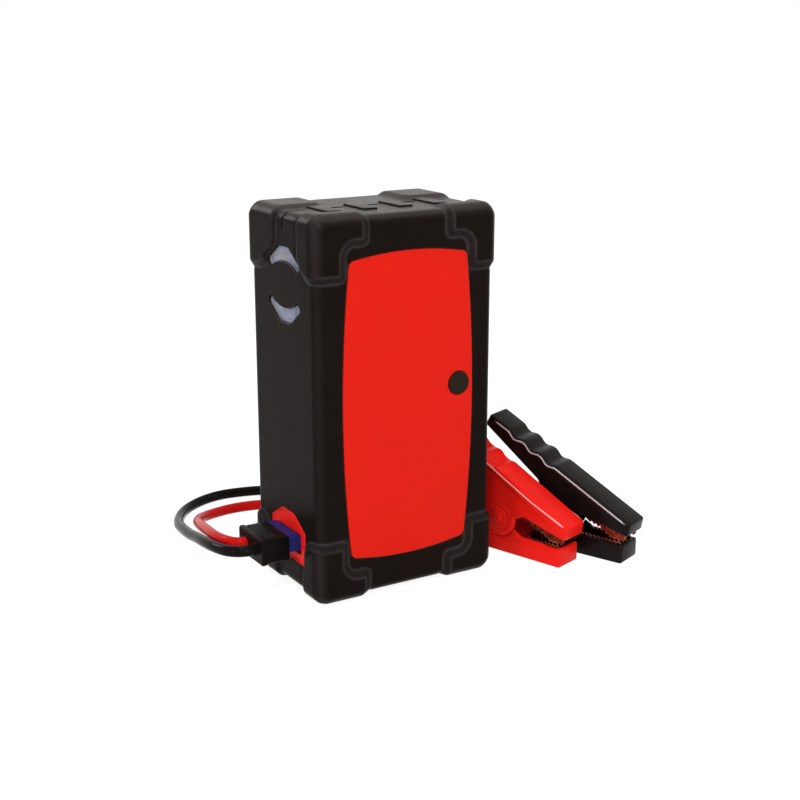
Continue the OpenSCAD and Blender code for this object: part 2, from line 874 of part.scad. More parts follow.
module plug_hood() {
    rib_w = 1.2;
    color(black) difference() {
        union() {
            translate([0, plug_y, socket_z]) side_view(hood_rear, hood_front)
                rounded_rect(hood_w, hood_h, 1.5);
            translate([0, plug_y, socket_z]) side_view(hood_rear, hood_rear + 3.5)
                rounded_rect(hood_w + 1, hood_h + 1.4, 2);
            for (i = [0:4]) translate([hood_rear + 6 + i * 2.3, plug_y, socket_z])
                cube([rib_w, hood_w - 4, hood_h + 0.8], center = true);
        }
        translate([0, plug_y, socket_z]) side_view(insert_root, hood_front + 1)
            square([insert_w, insert_h], center = true);
    }
}

module plug_insert() {
    color(blue) difference() {
        translate([0, plug_y, socket_z]) side_view(insert_root, insert_tip)
            square([insert_w, insert_h], center = true);
        at_pins() bar_x(insert_root + 3, insert_tip + 1, pin_d / 2 + sleeve_gap + sleeve_t);
    }
}

module plug_sleeves() {
    color(copper) difference() {
        at_pins() bar_x(insert_root + 3, insert_tip - 0.5, pin_d / 2 + sleeve_gap + sleeve_t);
        at_pins() bar_x(insert_root + 8, insert_tip + 1, pin_d / 2 + sleeve_gap);
    }
}

// ---------- cables ----------

function unit(v) = v / norm(v);
function heading(p, i) = unit(p[min(i + 1, len(p) - 1)] - p[max(i - 1, 0)]);
function ring_at(p, t, r, sides, up) =
    let (s = unit(cross(up, t)), u = cross(t, s))
    [for (k = [0:sides - 1]) p + r * (cos(360 * k / sides) * s + sin(360 * k / sides) * u)];

// A round strand along a route. "up" is a direction that the route never takes.
module strand(route, r, sides, up = [0, 0, 1]) {
    last = len(route) - 1;
    rings = [for (i = [0:last]) each ring_at(route[i], heading(route, i), r, sides, up)];
    side_faces = [
        for (i = [0:last - 1], k = [0:sides - 1])
            let (a = i * sides + k, b = i * sides + (k + 1) % sides)
                each [[a, b, b + sides], [a, b + sides, a + sides]]
    ];
    start_cap = [for (k = [1:sides - 2]) [0, k + 1, k]];
    end_cap = [for (k = [1:sides - 2]) [last * sides, last * sides + k, last * sides + k + 1]];
    polyhedron(rings, concat(side_faces, start_cap, end_cap));
}

module black_cable() {
    color(black) strand(black_route, cable_d / 2, 10);
}

module red_cable() {
    color(red) strand(red_route, cable_d / 2, 10);
}

// ---------- clamps ----------

// Stand a clamp, drawn with its nose at the origin and its handles along +X.
module on_floor(pose) {
    translate([pose[0], pose[1], 0]) rotate(pose[2]) children();
}

// Give a side outline (distance, height) a thickness from y0 to y1.
module clamp_plate(y0, y1) {
    translate([0, y1, 0]) rotate([90, 0, 0]) linear_extrude(y1 - y0) children();
}

module both_sides() {
    for (m = [0, 1]) mirror([0, m, 0]) children();
}

module lower_outline() {
    polygon([
        [0, 0], [clamp_l, 0], [clamp_l, lower_tail_z], [handle_root, lower_root_z],
        pivot, [pivot_s - 12.5, pivot_z - 3], [mouth_root, jaw_top], [0, jaw_top]
    ]);
}

module lower_half(shade) {
    color(shade) difference() {
        union() {
            difference() {
                clamp_plate(-half_w, half_w) lower_outline();
                span([clamp_wall, -inner_w, clamp_wall],
                    [clamp_l + 1, inner_w, lower_root_z + pivot_z]);
                clamp_plate(-half_w - 1, half_w + 1) translate(pivot) circle(ear_r + ear_gap);
            }
            both_sides() clamp_plate(ear_in, inner_w - side_gap) {
                translate(pivot) circle(ear_r - 3);
                polygon([
                    [pivot_s - 10, clamp_wall / 2], [pivot_s + 10, clamp_wall / 2],
                    [pivot_s + 8, pivot_z], [pivot_s - 8, pivot_z]
                ]);
            }
            span([bridge_s - 2.5, -inner_w - 1, bridge_top - 2.6],
                [bridge_s + 2.5, inner_w + 1, bridge_top]);
        }
        clamp_plate(-half_w - 1, half_w + 1) translate(pivot) circle(pivot_d / 2 + pivot_gap);
    }
}

module upper_outline() {
    difference() {
        polygon([
            ridge_a, ridge_b, upper_tail, [handle_root, pivot_z + 18.6],
            [pivot_s + 7, pivot_z + 9], pivot, [pivot_s - 12.5, pivot_z + 1.7],
            [pivot_s - 19.2, pivot_z + 4.6], [9.7, 21.5], [-3, 18.5]
        ]);
        for (d = wave_places)
            translate(ridge_a + d * ridge_dir + (wave_depth - wave_r) * ridge_in) circle(wave_r);
    }
}

// The hollow between the side plates and under the roof of the upper half.
module upper_hollow() {
    polygon([
        roof_a + clamp_wall * ridge_dir, roof_a + (ridge_l - clamp_wall) * ridge_dir,
        roof_a + (ridge_l - clamp_wall) * ridge_dir + ridge_l * ridge_in,
        [handle_root, -ridge_l], [jaw_start, -ridge_l]
    ]);
}

module upper_half(shade) {
    color(shade) difference() {
        union() {
            difference() {
                clamp_plate(-half_w, half_w) union() {
                    upper_outline();
                    translate(pivot) circle(ear_r);
                }
                clamp_plate(-inner_w, inner_w) {
                    upper_hollow();
                    translate(pivot) circle(ear_r + 1);
                }
            }
            both_sides() clamp_plate(half_w - 0.5, half_w + boss_h)
                translate(pivot) circle(ear_r * 0.55);
        }
        clamp_plate(-half_w - 1, half_w + 1) translate(pivot) circle(pivot_d / 2 + pivot_gap);
    }
}

// Saw teeth from s0 to s1 along a height line, pointing up (+1) or down (-1).
function teeth(s0, s1, line, way) = [
    for (i = [0:floor((s1 - s0) / tooth_pitch) - 1]) let (s = s0 + i * tooth_pitch)
        each [
            [s, lookup(s, line) - way * tooth_depth],
            [s + tooth_pitch / 2, lookup(s + tooth_pitch / 2, line)]
        ]
];
function reversed(v) = [for (i = [len(v) - 1:-1:0]) v[i]];

module lower_jaw() {
    color(copper) {
        both_sides() clamp_plate(jaw_in, jaw_out) polygon(concat(
            [[lower_jaw_end, jaw_floor], [lower_jaw_start, jaw_floor]],
            teeth(lower_jaw_start, lower_jaw_end, [[0, bite_z - bite_gap / 2]], 1),
            [[lower_jaw_end, bite_z - bite_gap / 2 - tooth_depth]]
        ));
        span([lower_jaw_start, -jaw_out, jaw_floor],
            [lower_jaw_end, jaw_out, jaw_floor + copper_t]);
        span([lower_jaw_end - small, -tang_w / 2, jaw_floor],
            [tang_l, tang_w / 2, jaw_floor + copper_t]);
    }
}

module upper_jaw() {
    top = [for (s = [jaw_start + 0.2, upper_jaw_end]) [s, roof(s) - snug_gap]];
    color(copper) {
        both_sides() clamp_plate(jaw_in, jaw_out) polygon(concat(
            teeth(jaw_start + 0.2, upper_jaw_end, upper_line, -1),
            [[upper_jaw_end, lookup(upper_jaw_end, upper_line) + tooth_depth]],
            reversed(top)
        ));
        clamp_plate(-jaw_out, jaw_out)
            polygon(concat(top, reversed([for (p = top) p - [0, copper_t * 1.2]])));
    }
}

module pivot_pin() {
    head = 0.8;
    reach = half_w + boss_h + 0.1;
    color(steel) translate([pivot_s, 0, pivot_z]) {
        bar_y(-reach, reach, pivot_d / 2);
        bar_y(-reach - head, -reach, pivot_d / 2 + 1.2);
        bar_y(reach, reach + head, pivot_d / 2 + 1.2);
    }
}

// Wire of the torsion spring: foot on the roof, arm, coil, arm on the bridge.
module torsion_spring() {
    color(steel) strand(spring_route, spring_wire / 2, 8, [0, 1, 0]);
}

module lug() {
    color([0.75, 0.72, 0.68]) {
        span([tang_l - 12, -tang_w / 2, jaw_floor + copper_t],
            [lug_s + 2, tang_w / 2, jaw_floor + copper_t + 1.4]);
        translate([0, 0, lug_z]) bar_x(lug_s, lug_s + lug_l, lug_r);
    }
}

module red_lower_half() on_floor(red_pose) lower_half(red);
module red_upper_half() on_floor(red_pose) upper_half(red);
module red_lower_jaw() on_floor(red_pose) lower_jaw();
module red_upper_jaw() on_floor(red_pose) upper_jaw();
module red_pivot_pin() on_floor(red_pose) pivot_pin();
module red_spring() on_floor(red_pose) torsion_spring();
module red_lug() on_floor(red_pose) lug();
module black_lower_half() on_floor(black_pose) lower_half(black);
module black_upper_half() on_floor(black_pose) upper_half(black);
module black_lower_jaw() on_floor(black_pose) lower_jaw();
module black_upper_jaw() on_floor(black_pose) upper_jaw();
module black_pivot_pin() on_floor(black_pose) pivot_pin();
module black_spring() on_floor(black_pose) torsion_spring();
module black_lug() on_floor(black_pose) lug();

front_shell();
rear_shell();
case_seal();
case_screws();
front_panel();
power_button();
switch_dome();
control_board();
lamp_lens();
lamp_reflector();
lamp_board();
lamp_leds();
socket_tray();
socket_body();
socket_pins();
battery_frame();
battery_cells_front();
battery_cells_rear();
cell_foam();
cell_links();
main_board();
power_relay();
power_mosfets();
filter_capacitor();
main_fuse();
output_bars();
plug_hood();
plug_insert();
plug_sleeves();
black_cable();
red_cable();
red_lower_half();
red_upper_half();
red_lower_jaw();
red_upper_jaw();
red_pivot_pin();
red_spring();
red_lug();
black_lower_half();
black_upper_half();
black_lower_jaw();
black_upper_jaw();
black_pivot_pin();
black_spring();
black_lug();
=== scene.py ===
"""Looks of the jump starter pack: case, lamp, socket, plug, cables and clamps.
Lengths in the helpers are millimetres, turned into metres when a mesh is made."""

import math

import bmesh
import bpy
import numpy as np
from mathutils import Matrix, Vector


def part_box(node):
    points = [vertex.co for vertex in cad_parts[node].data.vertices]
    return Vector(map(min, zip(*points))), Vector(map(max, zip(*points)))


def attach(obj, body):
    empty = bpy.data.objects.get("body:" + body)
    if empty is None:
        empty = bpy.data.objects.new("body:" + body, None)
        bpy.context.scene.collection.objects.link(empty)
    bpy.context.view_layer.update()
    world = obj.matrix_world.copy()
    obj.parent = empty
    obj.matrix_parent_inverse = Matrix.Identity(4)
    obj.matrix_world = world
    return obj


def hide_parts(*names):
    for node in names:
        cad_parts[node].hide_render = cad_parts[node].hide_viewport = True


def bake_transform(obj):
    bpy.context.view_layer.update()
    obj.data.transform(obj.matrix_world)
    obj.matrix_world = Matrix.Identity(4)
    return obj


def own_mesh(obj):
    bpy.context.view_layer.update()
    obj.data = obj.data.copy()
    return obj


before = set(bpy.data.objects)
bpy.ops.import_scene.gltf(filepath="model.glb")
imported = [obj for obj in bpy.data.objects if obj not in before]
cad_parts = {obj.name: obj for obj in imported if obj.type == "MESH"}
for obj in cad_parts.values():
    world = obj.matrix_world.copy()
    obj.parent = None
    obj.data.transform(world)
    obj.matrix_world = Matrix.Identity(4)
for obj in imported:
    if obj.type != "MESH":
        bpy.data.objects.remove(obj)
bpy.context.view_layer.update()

MM = 0.001
SEAM = -2.0  # y of the plane in which the case's halves meet
SQUARE = ((-1, -1), (1, -1), (1, 1), (-1, 1))


# ---------- shader nodes ----------

def srgb(r, g, b):
    """Linear colour of 0-255 display values."""
    def one(v):
        v /= 255
        return v / 12.92 if v <= 0.04045 else ((v + 0.055) / 1.055) ** 2.4
    return (one(r), one(g), one(b), 1)


class Nodes:
    """Node tree of a material or a world, with short calls that return a node's output."""

    def __init__(self, owner, output="ShaderNodeOutputMaterial"):
        owner.use_nodes = True
        self.owner, self.tree = owner, owner.node_tree
        self.tree.nodes.clear()
        self.last = self.tree.nodes.new(output).inputs[0]
        self.space = self.add("ShaderNodeTexCoord", out="Object")

    def add(self, kind, inputs=None, out=0, **settings):
        """New node; its inputs are numbers, colours or other nodes' outputs."""
        node = self.tree.nodes.new(kind)
        for key, value in settings.items():
            setattr(node, key, value)
        for key, value in (inputs or {}).items():
            if isinstance(value, bpy.types.NodeSocket):
                self.tree.links.new(value, node.inputs[key])
            else:
                node.inputs[key].default_value = value
        return node.outputs[out]

    def noise(self, scale, detail=4, rough=0.55, stretch=(1, 1, 1), shift=0.0):
        offset = (shift, shift * 0.7, shift * 1.3)
        place = self.add("ShaderNodeMapping", {"Vector": self.space, "Scale": stretch, "Location": offset})
        return self.add("ShaderNodeTexNoise",
            {"Vector": place, "Scale": scale, "Detail": detail, "Roughness": rough})

    def cells(self, scale, feature="F1"):
        return self.add("ShaderNodeTexVoronoi", {"Vector": self.space, "Scale": scale}, feature=feature)

    def remap(self, value, lo, hi, to_lo, to_hi):
        return self.add("ShaderNodeMapRange", dict(enumerate((value, lo, hi, to_lo, to_hi))))

    def patchy(self, scale, low, high, detail=4, rough=0.55, shift=0.0):
        """Noise whose middle part is spread from low to high."""
        return self.remap(self.noise(scale, detail, rough, shift=shift), 0.3, 0.7, low, high)

    def calc(self, how, a, b=0.0):
        return self.add("ShaderNodeMath", {0: a, 1: b}, operation=how)

    def mix(self, part, a, b):
        return self.add("ShaderNodeMix", {0: part, 6: a, 7: b}, 2, data_type="RGBA")

    def scaled(self, colour, factor):
        """A colour times a node's value."""
        return self.add("ShaderNodeVectorMath", {0: colour[:3], "Scale": factor}, operation="SCALE")

    def coordinate(self, vector, axis):
        return self.add("ShaderNodeSeparateXYZ", {0: vector}, axis)

    def normal(self):
        return self.add("ShaderNodeNewGeometry", out="Normal")

    def bump(self, height, strength, distance, under=None):
        inputs = {"Strength": strength, "Distance": distance, "Height": height}
        if under is not None:
            inputs["Normal"] = under
        return self.add("ShaderNodeBump", inputs)

    def edge(self, radius, flat_dot=0.995, full_dot=0.8):
        """0 on flat places, up to 1 along outer and inner edges."""
        bevel = self.add("ShaderNodeBevel", {"Radius": radius}, samples=4)
        dot = self.add("ShaderNodeVectorMath", {0: bevel, 1: self.normal()}, "Value", operation="DOT_PRODUCT")
        return self.remap(dot, flat_dot, full_dot, 0, 1)

    def mix_shader(self, part, a, b):
        return self.add("ShaderNodeMixShader", {0: part, 1: a, 2: b})

    def finish(self, shader):
        self.tree.links.new(shader, self.last)
        return self.owner

    def principled(self, inputs):
        return self.finish(self.add("ShaderNodeBsdfPrincipled", inputs))


# ---------- stage: camera, light, floor ----------

CAMERA_AT, CAMERA_DOWN, CAMERA_TURN = (-0.4104, -0.7097, 0.3355), 15.485, -31.212
FOCAL_MM, SENSOR_MM = 62.75, 36
WORLD_LIT, WORLD_SEEN = 0.42, 1.0
FLOOR_HALF, FLOOR_DROP = 60, 0.0002
FLOOR_GLOW, FLOOR_SEEN = 1.27, 0.7
AIM = (0, 0, 0.1)
LAMPS = (  # name, place, sides, watts
    ("key", (-1.0, -1.2, 1.7), (0.3, 0.3), 15),
    ("front", (-0.35, -1.9, 0.85), (0.4, 0.4), 8),
    ("side", (-1.9, -0.5, 0.6), (0.4, 0.4), 7),
    ("fill", (1.5, -1.2, 0.9), (0.4, 0.4), 5),
    ("top", (0.0, 0.3, 2.1), (0.5, 0.5), 10),
    ("back", (-0.6, 1.8, 1.0), (0.6, 0.5), 7),
)


def make_camera():
    data = bpy.data.cameras.new("camera")
    data.sensor_width = SENSOR_MM
    data.lens = FOCAL_MM
    data.clip_start = 0.01
    camera = bpy.data.objects.new("camera", data)
    camera.location = CAMERA_AT
    camera.rotation_euler = (math.radians(90 - CAMERA_DOWN), 0, math.radians(CAMERA_TURN))
    bpy.context.collection.objects.link(camera)
    bpy.context.scene.camera = camera


def area_light(name, place, size, power):
    data = bpy.data.lights.new(name, "AREA")
    data.shape = "RECTANGLE"
    data.size, data.size_y = size
    data.energy = power
    lamp = bpy.data.objects.new(name, data)
    lamp.location = place
    lamp.rotation_euler = (Vector(AIM) - Vector(place)).to_track_quat("-Z", "Y").to_euler()
    bpy.context.collection.objects.link(lamp)


def split_rays(n, lit, seen, part):
    """One shader for the rays that light the scene, and part of another for those that see it."""
    camera, gloss, clear = (n.add("ShaderNodeLightPath", out=kind)
        for kind in ("Is Camera Ray", "Is Glossy Ray", "Is Transmission Ray"))
    sees = n.calc("MAXIMUM", n.calc("MAXIMUM", camera, gloss), clear)
    return n.finish(n.mix_shader(n.calc("MULTIPLY", sees, part), lit, seen))


def make_world():
    n = Nodes(bpy.data.worlds.new("studio"), "ShaderNodeOutputWorld")
    lit, seen = (n.add("ShaderNodeBackground", {"Color": (1, 1, 1, 1), "Strength": strength})
        for strength in (WORLD_LIT, WORLD_SEEN))
    bpy.context.scene.world = split_rays(n, lit, seen, 1.0)


def make_floor():
    """White floor that shows as white, with a faint contact shadow."""
    n = Nodes(bpy.data.materials.new("floor_white"))
    matt = n.add("ShaderNodeBsdfDiffuse", {"Color": (0.9, 0.9, 0.9, 1)})
    glow = n.add("ShaderNodeEmission", {"Strength": FLOOR_GLOW})
    mesh = bpy.data.meshes.new("floor")
    mesh.from_pydata([(a * FLOOR_HALF, b * FLOOR_HALF, 0) for a, b in SQUARE], [], [(0, 1, 2, 3)])
    mesh.materials.append(split_rays(n, matt, glow, FLOOR_SEEN))
    floor = bpy.data.objects.new("floor", mesh)
    floor.location.z = -FLOOR_DROP
    bpy.context.collection.objects.link(floor)


bpy.context.scene.view_settings.view_transform = "Standard"
make_camera()
make_world()
make_floor()
for lamp in LAMPS:
    area_light(*lamp)


# ---------- materials ----------

def moulded(name, colour, rough=0.5, spread=0.1, vary=0.12, patch=35, grain=0.25, grain_size=0.0005,
            wear=None, wear_radius=0.0005, wear_part=0.5, coat=0.0, specular=0.5, metallic=0.0,
            scratches=0.0, sheen=0.0, dust_and_top_reflection=0.0, painted_chip_reflection=None, sharp=(0.995, 0.8), joint=None, rim=0.0,
            waves=0.12):
    """Moulded plastic, rubber or metal: patchy colour, fine grain, rubbed edges; painted highlights on marked
    edges, tops lighter with dust and a painted reflection, and a painted reflection tinted near one place.
    """
    n = Nodes(bpy.data.materials.new(name))
    shade = n.scaled(srgb(*colour), n.patchy(patch, 1 - vary, 1 + vary, 5))
    if wear is not None:
        wear_and_highlight_noise = n.remap(n.noise(220, 6, 0.7), 0.36, 0.62, 0, wear_part)
        wear_and_highlight_part = n.calc("MULTIPLY", n.edge(wear_radius, *sharp), wear_and_highlight_noise)
        if joint is not None:
            away = n.calc("ABSOLUTE", n.calc("SUBTRACT", n.coordinate(n.space, 1), joint))
            wear_and_highlight_part = n.calc("MULTIPLY", wear_and_highlight_part, n.remap(away, 0.0008, 0.0014, 0, 1))
        # Edges marked on the mesh take the wear colour too: painted highlights, partly rubbed wear.
        if rim:
            wear_and_highlight_mask = n.add("ShaderNodeAttribute", out="Fac", attribute_name="guard_wear_and_highlight")
            wear_and_highlight_noise = n.remap(n.noise(160, 5, 0.6), 0.3, 0.6, rim * 0.6, rim)
            wear_and_highlight_part = n.calc("MAXIMUM", wear_and_highlight_part, n.calc("MULTIPLY", wear_and_highlight_mask, wear_and_highlight_noise))
        shade = n.mix(wear_and_highlight_part, shade, srgb(*wear))
    # Upward faces lighter: partly dust, partly a painted reflection that stands for the tops' gloss.
    if dust_and_top_reflection:
        upward = n.remap(n.coordinate(n.normal(), 2), 0.55, 1.0, 0, dust_and_top_reflection)
        dust_and_reflection = n.calc("MULTIPLY", upward, n.remap(n.noise(140, 8, 0.7), 0.35, 0.7, 0.7, 1))
        shade = n.mix(dust_and_reflection, shade, TOP_DUST_AND_REFLECTION)
    # A yellow tint near one place: a painted reflection of the lamp's chips.
    if painted_chip_reflection is not None:
        tint, place, reach, part = painted_chip_reflection
        gap = n.add("ShaderNodeVectorMath", {0: n.space, 1: place}, "Value", operation="DISTANCE")
        shade = n.mix(n.remap(gap, reach * 0.35, reach, part, 0), shade, tint)
    normal = n.bump(n.cells(1 / grain_size, "SMOOTH_F1"), grain, grain_size * 0.35)
    normal = n.bump(n.noise(patch * 1.5, 3, shift=7.7), waves, 0.0006, normal)
    if scratches:
        lines = n.noise(26, 10, 0.8, stretch=(1, 1, 40), shift=1.7)
        normal = n.bump(lines, scratches, 0.0001, normal)
    return n.principled({
        "Base Color": shade, "Roughness": n.patchy(patch * 3, rough - spread, rough + spread, 6, 0.65, 3.1),
        "Normal": normal, "Metallic": metallic, "Specular IOR Level": specular, "Coat Weight": coat,
        "Coat Roughness": 0.15, "Sheen Weight": sheen, "Sheen Roughness": 0.4,
    })


def clear_plastic(name, tint):
    """Clear cover: lets lamps through, with gloss and a faint haze."""
    n = Nodes(bpy.data.materials.new(name))
    through = n.add("ShaderNodeBsdfTransparent", {0: n.scaled(tint, n.patchy(160, 0.9, 1.0, 5))})
    gloss = n.add("ShaderNodeBsdfPrincipled", {
        "Base Color": (0.8, 0.82, 0.88, 1), "Roughness": n.patchy(420, 0.06, 0.2, 5),
        "Normal": n.bump(n.noise(300, 3), 0.2, 0.0002),
    })
    facing = n.add("ShaderNodeLayerWeight", out="Facing")
    shine = n.calc("MULTIPLY", n.calc("POWER", facing, 5.0), 0.96)
    return n.finish(n.mix_shader(n.calc("ADD", shine, 0.11), through, gloss))


def glowing(name, colour, strength):
    """Dotted phosphor of a light chip, which glows by itself."""
    n = Nodes(bpy.data.materials.new(name))
    dots = n.cells(900)
    return n.principled({
        "Base Color": n.scaled(colour, n.remap(dots, 0.1, 0.5, 0.85, 1.1)),
        "Roughness": n.patchy(500, 0.25, 0.4), "Normal": n.bump(dots, 0.3, 0.0002),
        "Emission Color": colour, "Emission Strength": strength,
    })


def circuit_board(name):
    """Green board with copper tracks and pads under its lacquer."""
    n = Nodes(bpy.data.materials.new(name))
    track = n.remap(n.cells(260, "DISTANCE_TO_EDGE"), 0.03, 0.06, 1, 0)
    pads = n.remap(n.cells(420), 0.12, 0.16, 1, 0)
    shade = n.mix(track, srgb(24, 84, 48), srgb(44, 122, 66))
    return n.principled({
        "Base Color": n.mix(n.calc("MULTIPLY", pads, 0.8), shade, srgb(190, 172, 120)),
        "Roughness": n.patchy(120, 0.3, 0.45), "Normal": n.bump(track, 0.3, 0.00004), "Coat Weight": 0.3,
    })


# After the colour (0-255): roughness and its spread, patchiness and patches per metre, grain and its size.
# Colour of the lighter tops: dust, and a painted reflection on them.
TOP_DUST_AND_REFLECTION = srgb(150, 142, 135)
FINE_EDGE = (0.998, 0.93)
# Case black: its wear colour on the marked guard edges is partly a painted highlight, and its lighter tops
# partly a painted reflection.
BLACK = moulded("case_black", (24, 18, 15), 0.27, 0.04, 0.12, 25, 0.1, 0.0006,
    wear=(84, 79, 80), wear_radius=0.0007, specular=0.018, dust_and_top_reflection=0.2, sharp=FINE_EDGE,
    joint=SEAM * MM, rim=0.75, waves=0.08)
PANEL_RED = moulded("panel_red", (216, 27, 12), 0.42, 0.04, 0.03, 30, 0.05, 0.0005,
    wear=(236, 78, 62), wear_part=0.3, specular=0.08)
BUTTON = moulded("button_black", (32, 24, 15), 0.5, 0.06, 0.1, 60, 0.3, 0.0004, specular=0.07)
SEAL = moulded("seal_rubber", (46, 46, 48), 0.75, 0.05, 0.12, 70, 0.35, 0.0005, sheen=0.2)
STEEL = moulded("steel", (186, 187, 190), 0.3, 0.08, 0.08, 120, 0.05, 0.0004, metallic=1.0,
    wear=(235, 235, 238), scratches=0.25)
GREEN = circuit_board("board_green")
LENS = clear_plastic("lens_clear", (0.93, 0.93, 0.99))
# Yellow patch painted on the reflector near the upper chips: a painted reflection of the chips.
CHIP_PAINTED_REFLECTION = (srgb(196, 198, 92), (-0.0515, 0.0142, 0.2), 0.0042, 0.9)  # colour, place, reach, strength
REFLECTOR = moulded("reflector_silver", (196, 192, 220), 0.34, 0.08, 0.08, 150, 0.2, 0.0009,
    metallic=0.15, specular=0.3, painted_chip_reflection=CHIP_PAINTED_REFLECTION)
LED = glowing("led_yellow", srgb(206, 206, 96), 0.35)
TRAY_RED = moulded("tray_red", (238, 30, 22), 0.45, 0.06, 0.05, 80, 0.12, 0.0004,
    wear=(240, 88, 78), wear_part=0.3, specular=0.06)
BLUE = moulded("socket_blue", (34, 40, 104), 0.42, 0.07, 0.1, 90, 0.15, 0.0004,
    wear=(80, 78, 168), wear_part=0.4, specular=0.06)
BRASS = moulded("contact_brass", (212, 160, 84), 0.28, 0.08, 0.1, 110, 0.05, 0.0004, metallic=1.0,
    wear=(246, 214, 150), scratches=0.2)
FRAME_GREY = moulded("frame_grey", (66, 66, 70), 0.55, 0.08, 0.1, 40, 0.2, 0.0006,
    wear=(112, 112, 116))
CELL = moulded("cell_wrap", (150, 156, 170), 0.34, 0.08, 0.08, 45, 0.2, 0.0016, metallic=0.85,
    wear=(205, 208, 216), scratches=0.15)
FOAM = moulded("foam_grey", (78, 78, 80), 0.95, 0.03, 0.15, 160, 0.9, 0.0009, specular=0.15,
    sheen=0.3)
RELAY = moulded("relay_black", (30, 31, 34), 0.35, 0.07, 0.1, 60, 0.12, 0.0004,
    wear=(84, 86, 92))
CAN = moulded("can_aluminium", (52, 58, 92), 0.3, 0.07, 0.08, 80, 0.1, 0.0004, coat=0.3)
FUSE = moulded("fuse_white", (222, 218, 204), 0.4, 0.07, 0.06, 70, 0.12, 0.0005,
    wear=(244, 242, 236))
PLUG_BLACK = moulded("plug_black", (20, 15, 14), 0.28, 0.05, 0.12, 80, 0.16, 0.0005,
    wear=(92, 82, 80), specular=0.028, dust_and_top_reflection=0.01)
CABLE_BLACK = moulded("cable_black", (18, 15, 15), 0.18, 0.03, 0.1, 60, 0.03, 0.0007,
    specular=0.032, waves=0.03)
CABLE_RED = moulded("cable_red", (196, 22, 19), 0.2, 0.03, 0.06, 60, 0.03, 0.0007,
    specular=0.03, waves=0.03)
CLAMP_RED = moulded("clamp_red", (232, 29, 21), 0.32, 0.05, 0.04, 60, 0.08, 0.0005,
    wear=(248, 104, 90), wear_part=0.35, specular=0.08)
CLAMP_BLACK = moulded("clamp_black", (22, 16, 15), 0.2, 0.04, 0.1, 60, 0.08, 0.0005,
    wear=(96, 86, 88), specular=0.07, sharp=FINE_EDGE)
# Pale strips for the clamps' top edges: painted highlights, lighter than the clamps' own colours.
PAINTED_HIGHLIGHT_RED = moulded("clamp_painted_highlight_red", (250, 150, 146), 0.22, 0.05, 0.05, 90, 0.05, 0.0004,
    specular=0.6, coat=0.6)
PAINTED_HIGHLIGHT_BLACK = moulded("clamp_painted_highlight_black", (170, 158, 160), 0.2, 0.05, 0.08, 90, 0.05, 0.0004,
    specular=0.6, coat=0.6)
COPPER = moulded("jaw_copper", (118, 40, 24), 0.33, 0.12, 0.7, 420, 0.4, 0.0008, metallic=1.0,
    wear=(255, 200, 154), wear_part=0.95, scratches=0.5)
TIN = moulded("lug_tin", (196, 194, 188), 0.34, 0.08, 0.1, 120, 0.1, 0.0005, metallic=1.0,
    wear=(232, 230, 226))


# ---------- mesh helpers ----------

def mesh_object(name, points, faces, material, smooth=35, place=None):
    points = np.asarray(points, float)
    if place is not None:
        points = place(points)
    mesh = bpy.data.meshes.new(name)
    mesh.from_pydata((points * MM).tolist(), [], faces)
    mesh.validate()
    obj = bpy.data.objects.new(name, mesh)
    bpy.context.collection.objects.link(obj)
    mesh.materials.append(material)
    outward(mesh)
    round_shading(mesh, smooth)
    return obj


def outward(mesh):
    b = bmesh.new()
    b.from_mesh(mesh)
    bmesh.ops.recalc_face_normals(b, faces=b.faces)
    b.to_mesh(mesh)
    b.free()


def round_shading(mesh, angle):
    mesh.shade_smooth()
    mesh.set_sharp_from_angle(angle=math.radians(angle))


def cut(obj, *tools, how="DIFFERENCE", smooth=35):
    """Boolean with other objects, which are used up."""
    for tool in tools:
        step = obj.modifiers.new("cut", "BOOLEAN")
        step.operation = how
        step.solver = "MANIFOLD"
        step.object = tool
        graph = bpy.context.evaluated_depsgraph_get()
        result = bpy.data.meshes.new_from_object(obj.evaluated_get(graph))
        obj.modifiers.clear()
        old, obj.data = obj.data, result
        bpy.data.meshes.remove(old)
        bpy.data.meshes.remove(tool.data)
    while len(obj.data.materials) > 1:
        obj.data.materials.pop()
    round_shading(obj.data, smooth)
    return obj


def join(obj, *others):
    return cut(obj, *others, how="UNION")


def twin(obj):
    """Copy of an object, with a mesh of its own."""
    other = obj.copy()
    other.data = obj.data.copy()
    bpy.context.collection.objects.link(other)
    return other


def box_of(node):
    """Low and high corner of a node in millimetres."""
    return [np.array(point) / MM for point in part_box(node)]


def fillet(corners, radius=1.0, steps=5):
    """Polygon (x, z[, own radius]) with its corners turned into arcs."""
    out = []
    count = len(corners)
    for i, corner in enumerate(corners):
        r = corner[2] if len(corner) > 2 else radius
        p, a, b = (np.array(corners[k % count][:2], float) for k in (i, i - 1, i + 1))
        la, lb = np.linalg.norm(a - p), np.linalg.norm(b - p)
        a, b = (a - p) / max(la, 1e-9), (b - p) / max(lb, 1e-9)
        angle = math.acos(max(-1, min(1, float(a @ b))))
        if r <= 0 or min(la, lb) < 1e-9 or angle > math.pi - 0.05:
            out.append(p)
            continue
        t = min(r / math.tan(angle / 2), 0.48 * la, 0.48 * lb)
        r = t * math.tan(angle / 2)
        middle = p + (a + b) / np.linalg.norm(a + b) * (r / math.sin(angle / 2))
        start, end = p + a * t - middle, p + b * t - middle
        turn = math.atan2(start[0] * end[1] - start[1] * end[0], float(start @ end))
        for k in range(steps + 1):
            c, s = math.cos(turn * k / steps), math.sin(turn * k / steps)
            out.append(middle + (c * start[0] - s * start[1], s * start[0] + c * start[1]))
    return np.array(out)


